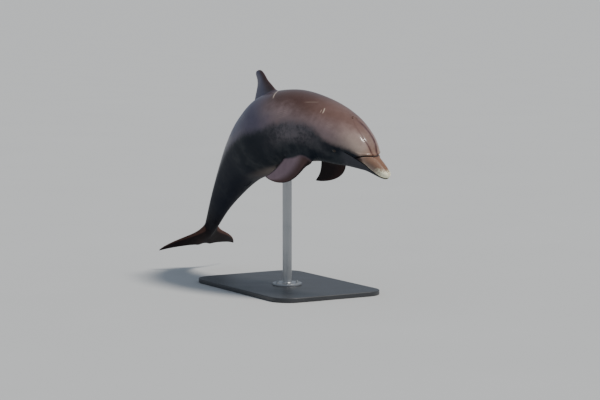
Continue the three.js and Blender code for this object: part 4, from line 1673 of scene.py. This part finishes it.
def dress(piece: bpy.types.Object, material: bpy.types.Material) -> None:
    """Gives a piece one material."""
    piece.data.materials.clear()
    piece.data.materials.append(material)


def hand_over(piece: bpy.types.Object, slot: str, *nodes: str) -> None:
    """Puts a piece on the frame, in place of CAD nodes, and reports it.

    Args:
        piece: the finished piece.
        slot: the record's material slot for its finish; not used.
        nodes: the CAD nodes that it stands for.
    """
    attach(piece, "root")
    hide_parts(*nodes)
    piece.data.calc_loop_triangles()
    LOG.info("%s: %d triangles for %s", piece.name, len(piece.data.loop_triangles), ", ".join(nodes))


# ---------------------------------------------------------------- the dolphin and its stand


FLESH = ("head", "beak_upper", "jaw_lower", "trunk_front", "trunk_middle", "trunk_rear", "tail_stock",
         "dorsal_fin", "flipper_left", "flipper_right", "fluke_left", "fluke_right")


@dataclass
class Eyeball:
    """One glass eye."""

    place: EyePlace
    rings: int = 40
    sides: int = 56

    def build(self) -> bpy.types.Object:
        """A ball round the eye's own axis, with its shares ahead and up stored.

        Points are middle + radius * (out * cos(polar) + across * sin(polar)).
        """
        at = self.place
        polar = np.linspace(0.02, np.pi - 0.02, self.rings)[:, None]
        turn = full_turn(self.sides)[None]
        ahead, above = np.sin(polar) * np.cos(turn), np.sin(polar) * np.sin(turn)
        out = np.cos(polar) + 0 * turn
        offset = (out[..., None] * at.out + ahead[..., None] * at.ahead + above[..., None] * at.up)
        name = "eyeball_" + at.side.name.lower()
        piece = put_mesh(name, [Shell(at.centre + at.ball * offset)])
        add_attribute(piece.data, "ahead", ahead.ravel())
        add_attribute(piece.data, "above", above.ravel())
        return piece


@dataclass
class Dolphin:
    """The whole animal: its skin and its two eyes."""

    body: Body = field(default_factory=Body)

    def build(self) -> None:
        """Builds, dresses and hands over the skin and the eyes."""
        eyes = [EyePlace(self.body, side) for side in Side]
        skin = Skin(self.body, Fins(self.body).build(), eyes).build()
        dress(skin, SkinFinish().dress())
        hand_over(skin, "skin_body", *FLESH)
        glass = EyeFinish().dress()
        for eye in eyes:
            ball = Eyeball(eye).build()
            dress(ball, glass)
            hand_over(ball, "eye", "eye_" + eye.side.name.lower())


@dataclass
class Stand:
    """Base board, bolted flange, steel rod and rubber cradle under the belly."""

    body: Body
    board: tuple[float, float, float] = (1200.0, 780.0, 30.0)  # length, width and thickness
    corner: float = 130.0  # radius of the board's corners
    rounding: float = 5.0  # and of its edges
    gap: float = 0.3  # between one piece and the next
    rod_station: float = 1050.0
    rod_radius: float = 30.0
    flange_radius: float = 95.0
    flange_thick: float = 14.0
    bolts: int = 6
    bolt_circle: float = 74.0
    bolt_radius: float = 8.0
    bolt_high: float = 9.0
    washer_radius: float = 9.6
    washer_thick: float = 1.6
    weld: float = 7.0
    collar_thick: float = 8.0
    collar_high: float = 34.0
    cradle_radius: float = 75.0
    cradle_deep: float = 44.0
    cradle_taper: float = 0.62  # radius at the rod as a share of the lip's
    cradle_ribs: int = 8
    rib_high: float = 1.3
    # inset from the wall, and drop below the belly
    cradle_lip: Rows = ((0.3, 3.4), (1.2, 1.6), (2.6, 0.6), (4.4, 0.1))
    hub: float = 4.0  # radius of the flat middle that closes a turned end

    def __post_init__(self) -> None:
        """Finds the foot of the rod, straight below the belly at its station."""
        at = np.array(self.rod_station)
        self.foot = self.body.spine.place(at, 0.0, -self.body.size(at)[1])
        self.flange_low = self.board[2] + self.gap

    def base(self) -> bpy.types.Object:
        """A board with round corners and rounded edges.

        Its outline is a rectangle with quarter circles at the corners, drawn in by an
        inset; the profile of inset and height rounds the edges by quarter circles.
        """
        length, width, thick = self.board
        r, flat = self.rounding, 60.0  # the flat reaches this far in before the end face takes over
        lower = quarter_round(r, 9)
        upper = lower[:, ::-1] * (1, -1) + (0, thick)
        profile = np.array([(flat, 0.0), (r + 1, 0.0), *lower, (0.0, thick / 2), *upper,
                            (r + 1, thick), (flat, thick)])
        start = np.repeat(np.arange(4) * np.pi / 2, 25)  # of each quarter turn
        angle = start + np.tile(np.linspace(0, np.pi / 2, 25), 4)
        middle_x = (length / 2 - self.corner) * np.sign(np.cos(start + np.pi / 4))
        middle_y = (width / 2 - self.corner) * np.sign(np.sin(start + np.pi / 4))
        radius = self.corner - profile[:, :1]
        rings = np.stack([middle_x + radius * np.cos(angle), middle_y + radius * np.sin(angle),
                          np.repeat(profile[:, 1:], len(angle), 1)], -1)
        piece = put_mesh("base_board", [Shell(rings)])
        near_edge = bell(np.repeat(profile[:, 0], len(angle)), 4.0)
        add_attribute(piece.data, "edge", near_edge)
        return piece

    def bolt(self, centre: Sequence[float]) -> list[Shell]:
        """A washer and a six-sided bolt head with a rounded crown.

        The head's radius is that of a hexagon, the flat's distance over the cosine of
        the angle from its middle, held back to a circle at the crown.
        """
        low, r, h = self.flange_low + self.flange_thick, self.washer_radius, self.washer_thick
        washer = [(3, low - 1), (r, low - 1), (r, low + h - 0.4), (r - 0.6, low + h), (3, low + h)]
        flat = self.bolt_radius * math.cos(math.pi / 6)
        hexagon = flat / np.cos((full_turn(72) + 0.2) % (np.pi / 3) - np.pi / 6)
        top = low + self.bolt_high
        levels = np.array([(9.0, low + 1), (9.0, top - 1.4), (7.5, top - 0.6), (6.6, top), (2.0, top)])
        head = rings_round(centre, np.minimum(hexagon, levels[:, :1]), levels[:, 1:])
        return [revolve(washer, centre, 48), Shell(head)]

    def flange(self) -> bpy.types.Object:
        """A turned disc with chamfered edges, and its bolts."""
        low, high, r = self.flange_low, self.flange_low + self.flange_thick, self.flange_radius
        profile = [(self.hub, low), (r - 1.5, low), (r, low + 1.5), (r, high - 2.5),
                   (r - 0.8, high - 0.8), (r - 2.5, high), (self.rod_radius + 9, high),
                   (self.hub, high)]
        shells = [revolve(profile, self.foot[:2], 128)]
        for k in range(self.bolts):
            turn = 2 * math.pi * (k + 0.5) / self.bolts
            shells += self.bolt((self.foot[0] + self.bolt_circle * math.cos(turn),
                                 self.foot[1] + self.bolt_circle * math.sin(turn)))
        piece = put_mesh("foot_flange", shells)
        crease_edges(piece.data, 30)
        return piece

    def rod(self) -> bpy.types.Object:
        """The rod with a weld fillet at its foot and a clamped collar under the cradle."""
        low = self.flange_low + self.flange_thick + self.gap
        high = self.foot[2] - self.cradle_deep - self.gap
        r, start = self.rod_radius, high - self.collar_high
        weld, collar = quarter_round(self.weld, 8) + (r, low), r + self.collar_thick
        profile = [(self.hub, low), *weld, (r, low + 40), (r, high - 60), (r, start),
                   (collar - 1, start + 1), (collar, start + 2), (collar, high - 3),
                   (collar - 1, high - 2), (r + 1, high), (self.hub, high)]
        piece = put_mesh("steel_rod", [revolve(profile, self.foot[:2], 96)])
        crease_edges(piece.data, 30)
        return piece

    def underside(self, x: np.ndarray, y: np.ndarray) -> np.ndarray:
        """Height of the belly above points of the plan.

        Twenty times over, the span of heights that holds it is halved, by whether its
        middle lies inside the body.

        Args:
            x: the points' x, in rows.
            y: their y.

        Returns:
            Heights in the same rows.
        """
        low = np.full(x.size, self.foot[2] - 40.0)
        high = np.full(x.size, self.foot[2] + 150.0)
        for _ in range(20):
            middle = (low + high) / 2
            points = np.stack([x.ravel(), y.ravel(), middle], -1)
            inside = self.body.share_out(*self.body.locate(points)) < 1
            low, high = np.where(inside, low, middle), np.where(inside, middle, high)
        return low.reshape(x.shape)

    def cradle(self) -> bpy.types.Object:
        """A rubber cup whose hollow top follows the belly, with moulded ribs and a round lip.

        The wall's radius grows from the rod to the lip with low ribs; the top is the
        belly's own height less the gap, dropping a little toward the lip's edge.
        """
        sides, outer, floor = 144, self.cradle_radius, self.foot[2] - self.cradle_deep
        inset, drop = np.asarray(self.cradle_lip).T
        reach = np.concatenate([outer - inset, np.linspace(outer - 8, 3, 14)])
        hollow = rings_round(self.foot, np.repeat(reach[:, None], sides, 1), 0.0)
        hollow[..., 2] = self.underside(hollow[..., 0], hollow[..., 1]) - self.gap
        hollow[: len(drop), :, 2] -= drop[:, None]
        share = np.linspace(0, 1, 30)
        rib = self.rib_high * np.sin(share * np.pi * self.cradle_ribs) ** 2
        rib = rib * ease(share, 0.0, 0.1) * ease(share, 0.9, 0.72)
        radius = outer * (self.cradle_taper + (1 - self.cradle_taper) * share**0.8) - rib
        height = floor + (hollow[:1, :, 2] - floor) * share[:, None]
        height[0] += 1.0  # a small chamfer above the floor
        wall = rings_round(self.foot, np.repeat(radius[:, None], sides, 1), height)
        base = revolve([(self.hub, floor), (radius[0] - 1.5, floor)], self.foot[:2], sides).rings
        return put_mesh("rubber_cradle", [Shell(np.concatenate([base, wall, hollow]))])

    def build(self) -> None:
        """Builds, dresses and hands over the stand's pieces."""
        steel = SteelFinish().dress()
        for piece, material, slot, node in (
            (self.base(), PaintFinish().dress(), "base_paint", "stand_base"),
            (self.flange(), steel, "stand_steel", "stand_flange"),
            (self.rod(), steel, "stand_steel", "stand_rod"),
            (self.cradle(), RubberFinish().dress(), "cradle_rubber", "stand_cradle"),
        ):
            dress(piece, material)
            hand_over(piece, slot, node)


# ---------------------------------------------------------------- studio


@dataclass
class Studio:
    """Pale floor, soft lights and the camera."""

    floor_half: float = 1500.0  # far enough that the floor's edge stays out of sight
    anchor: tuple[float, float, float] = (0.060, -0.020, 1.040)  # the body's fixed place
    azimuth: float = 60.0  # where the camera stands from there, in degrees and metres
    elevation: float = 3.75
    distance: float = 13.417
    aim_azimuth: float = 59.70  # the camera looks a little past the anchor
    aim_elevation: float = 5.687
    lens: float = 124.7
    floor_colour: Colour = (0.52, 0.53, 0.53)
    sky_colour: Colour = (0.60, 0.69, 0.82)
    sky_strength: float = 0.55
    key_toward: tuple[float, float] = (124.0, 57.0)  # azimuth and elevation of the main light
    key_strength: float = 3.4
    key_angle: float = 11.0
    key_colour: Colour = (1.0, 0.945, 0.87)

    @staticmethod
    def away(azimuth: float, elevation: float) -> Vector:
        """Unit vector from the model toward a camera, angles in degrees."""
        a, e = math.radians(azimuth), math.radians(elevation)
        return Vector((math.sin(a) * math.cos(e), -math.cos(a) * math.cos(e), math.sin(e)))

    @staticmethod
    def turn(thing: bpy.types.Object, toward: Vector) -> None:
        """Points a lamp or a camera along a direction, level from side to side."""
        thing.rotation_mode = "QUATERNION"
        thing.rotation_quaternion = toward.to_track_quat("-Z", "Y")

    def floor(self) -> None:
        """A wide pale floor, which isn't part of the model."""
        h = self.floor_half
        mesh = bpy.data.meshes.new("studio_floor")
        mesh.from_pydata([(-h, -h, 0), (h, -h, 0), (h, h, 0), (-h, h, 0)], [], [(0, 1, 2, 3)])
        floor, n = put_object("studio_floor", mesh), Nodes("studio_paper")
        dress(floor, n.finish(n.tint(self.floor_colour, 0.97 + n.noise(0.8) * 0.06), 0.85))

    def lights(self) -> None:
        """A broad, distant main light high in front on the left, and a pale sky all round."""
        light = bpy.data.lights.new("key_above", "SUN")
        light.energy, light.color = self.key_strength, self.key_colour
        light.angle = math.radians(self.key_angle)
        self.turn(put_object("key_above", light), -self.away(*self.key_toward))
        world = bpy.data.worlds.new("studio")
        world.use_nodes = True
        sky = world.node_tree.nodes["Background"]
        sky.inputs["Color"].default_value = (*self.sky_colour, 1.0)
        sky.inputs["Strength"].default_value = self.sky_strength
        bpy.context.scene.world = world

    def camera(self) -> None:
        """A long lens from the right front, a little above level."""
        data = bpy.data.cameras.new("camera")
        data.lens, data.sensor_width, data.clip_end = self.lens, 36.0, 4000.0
        camera = put_object("camera", data)
        camera.location = Vector(self.anchor) + self.away(self.azimuth, self.elevation) * self.distance
        self.turn(camera, -self.away(self.aim_azimuth, self.aim_elevation))
        bpy.context.scene.camera = camera

    def build(self) -> None:
        """Sets up the floor, the lights and the camera."""
        self.floor()
        self.lights()
        self.camera()


def main() -> None:
    """Builds the dolphin, its stand and the studio, in that order."""
    logging.basicConfig(level=logging.INFO, format="%(message)s")
    dolphin = Dolphin()
    dolphin.build()
    Stand(dolphin.body).build()
    Studio().build()


if __name__ == "__main__":
    main()
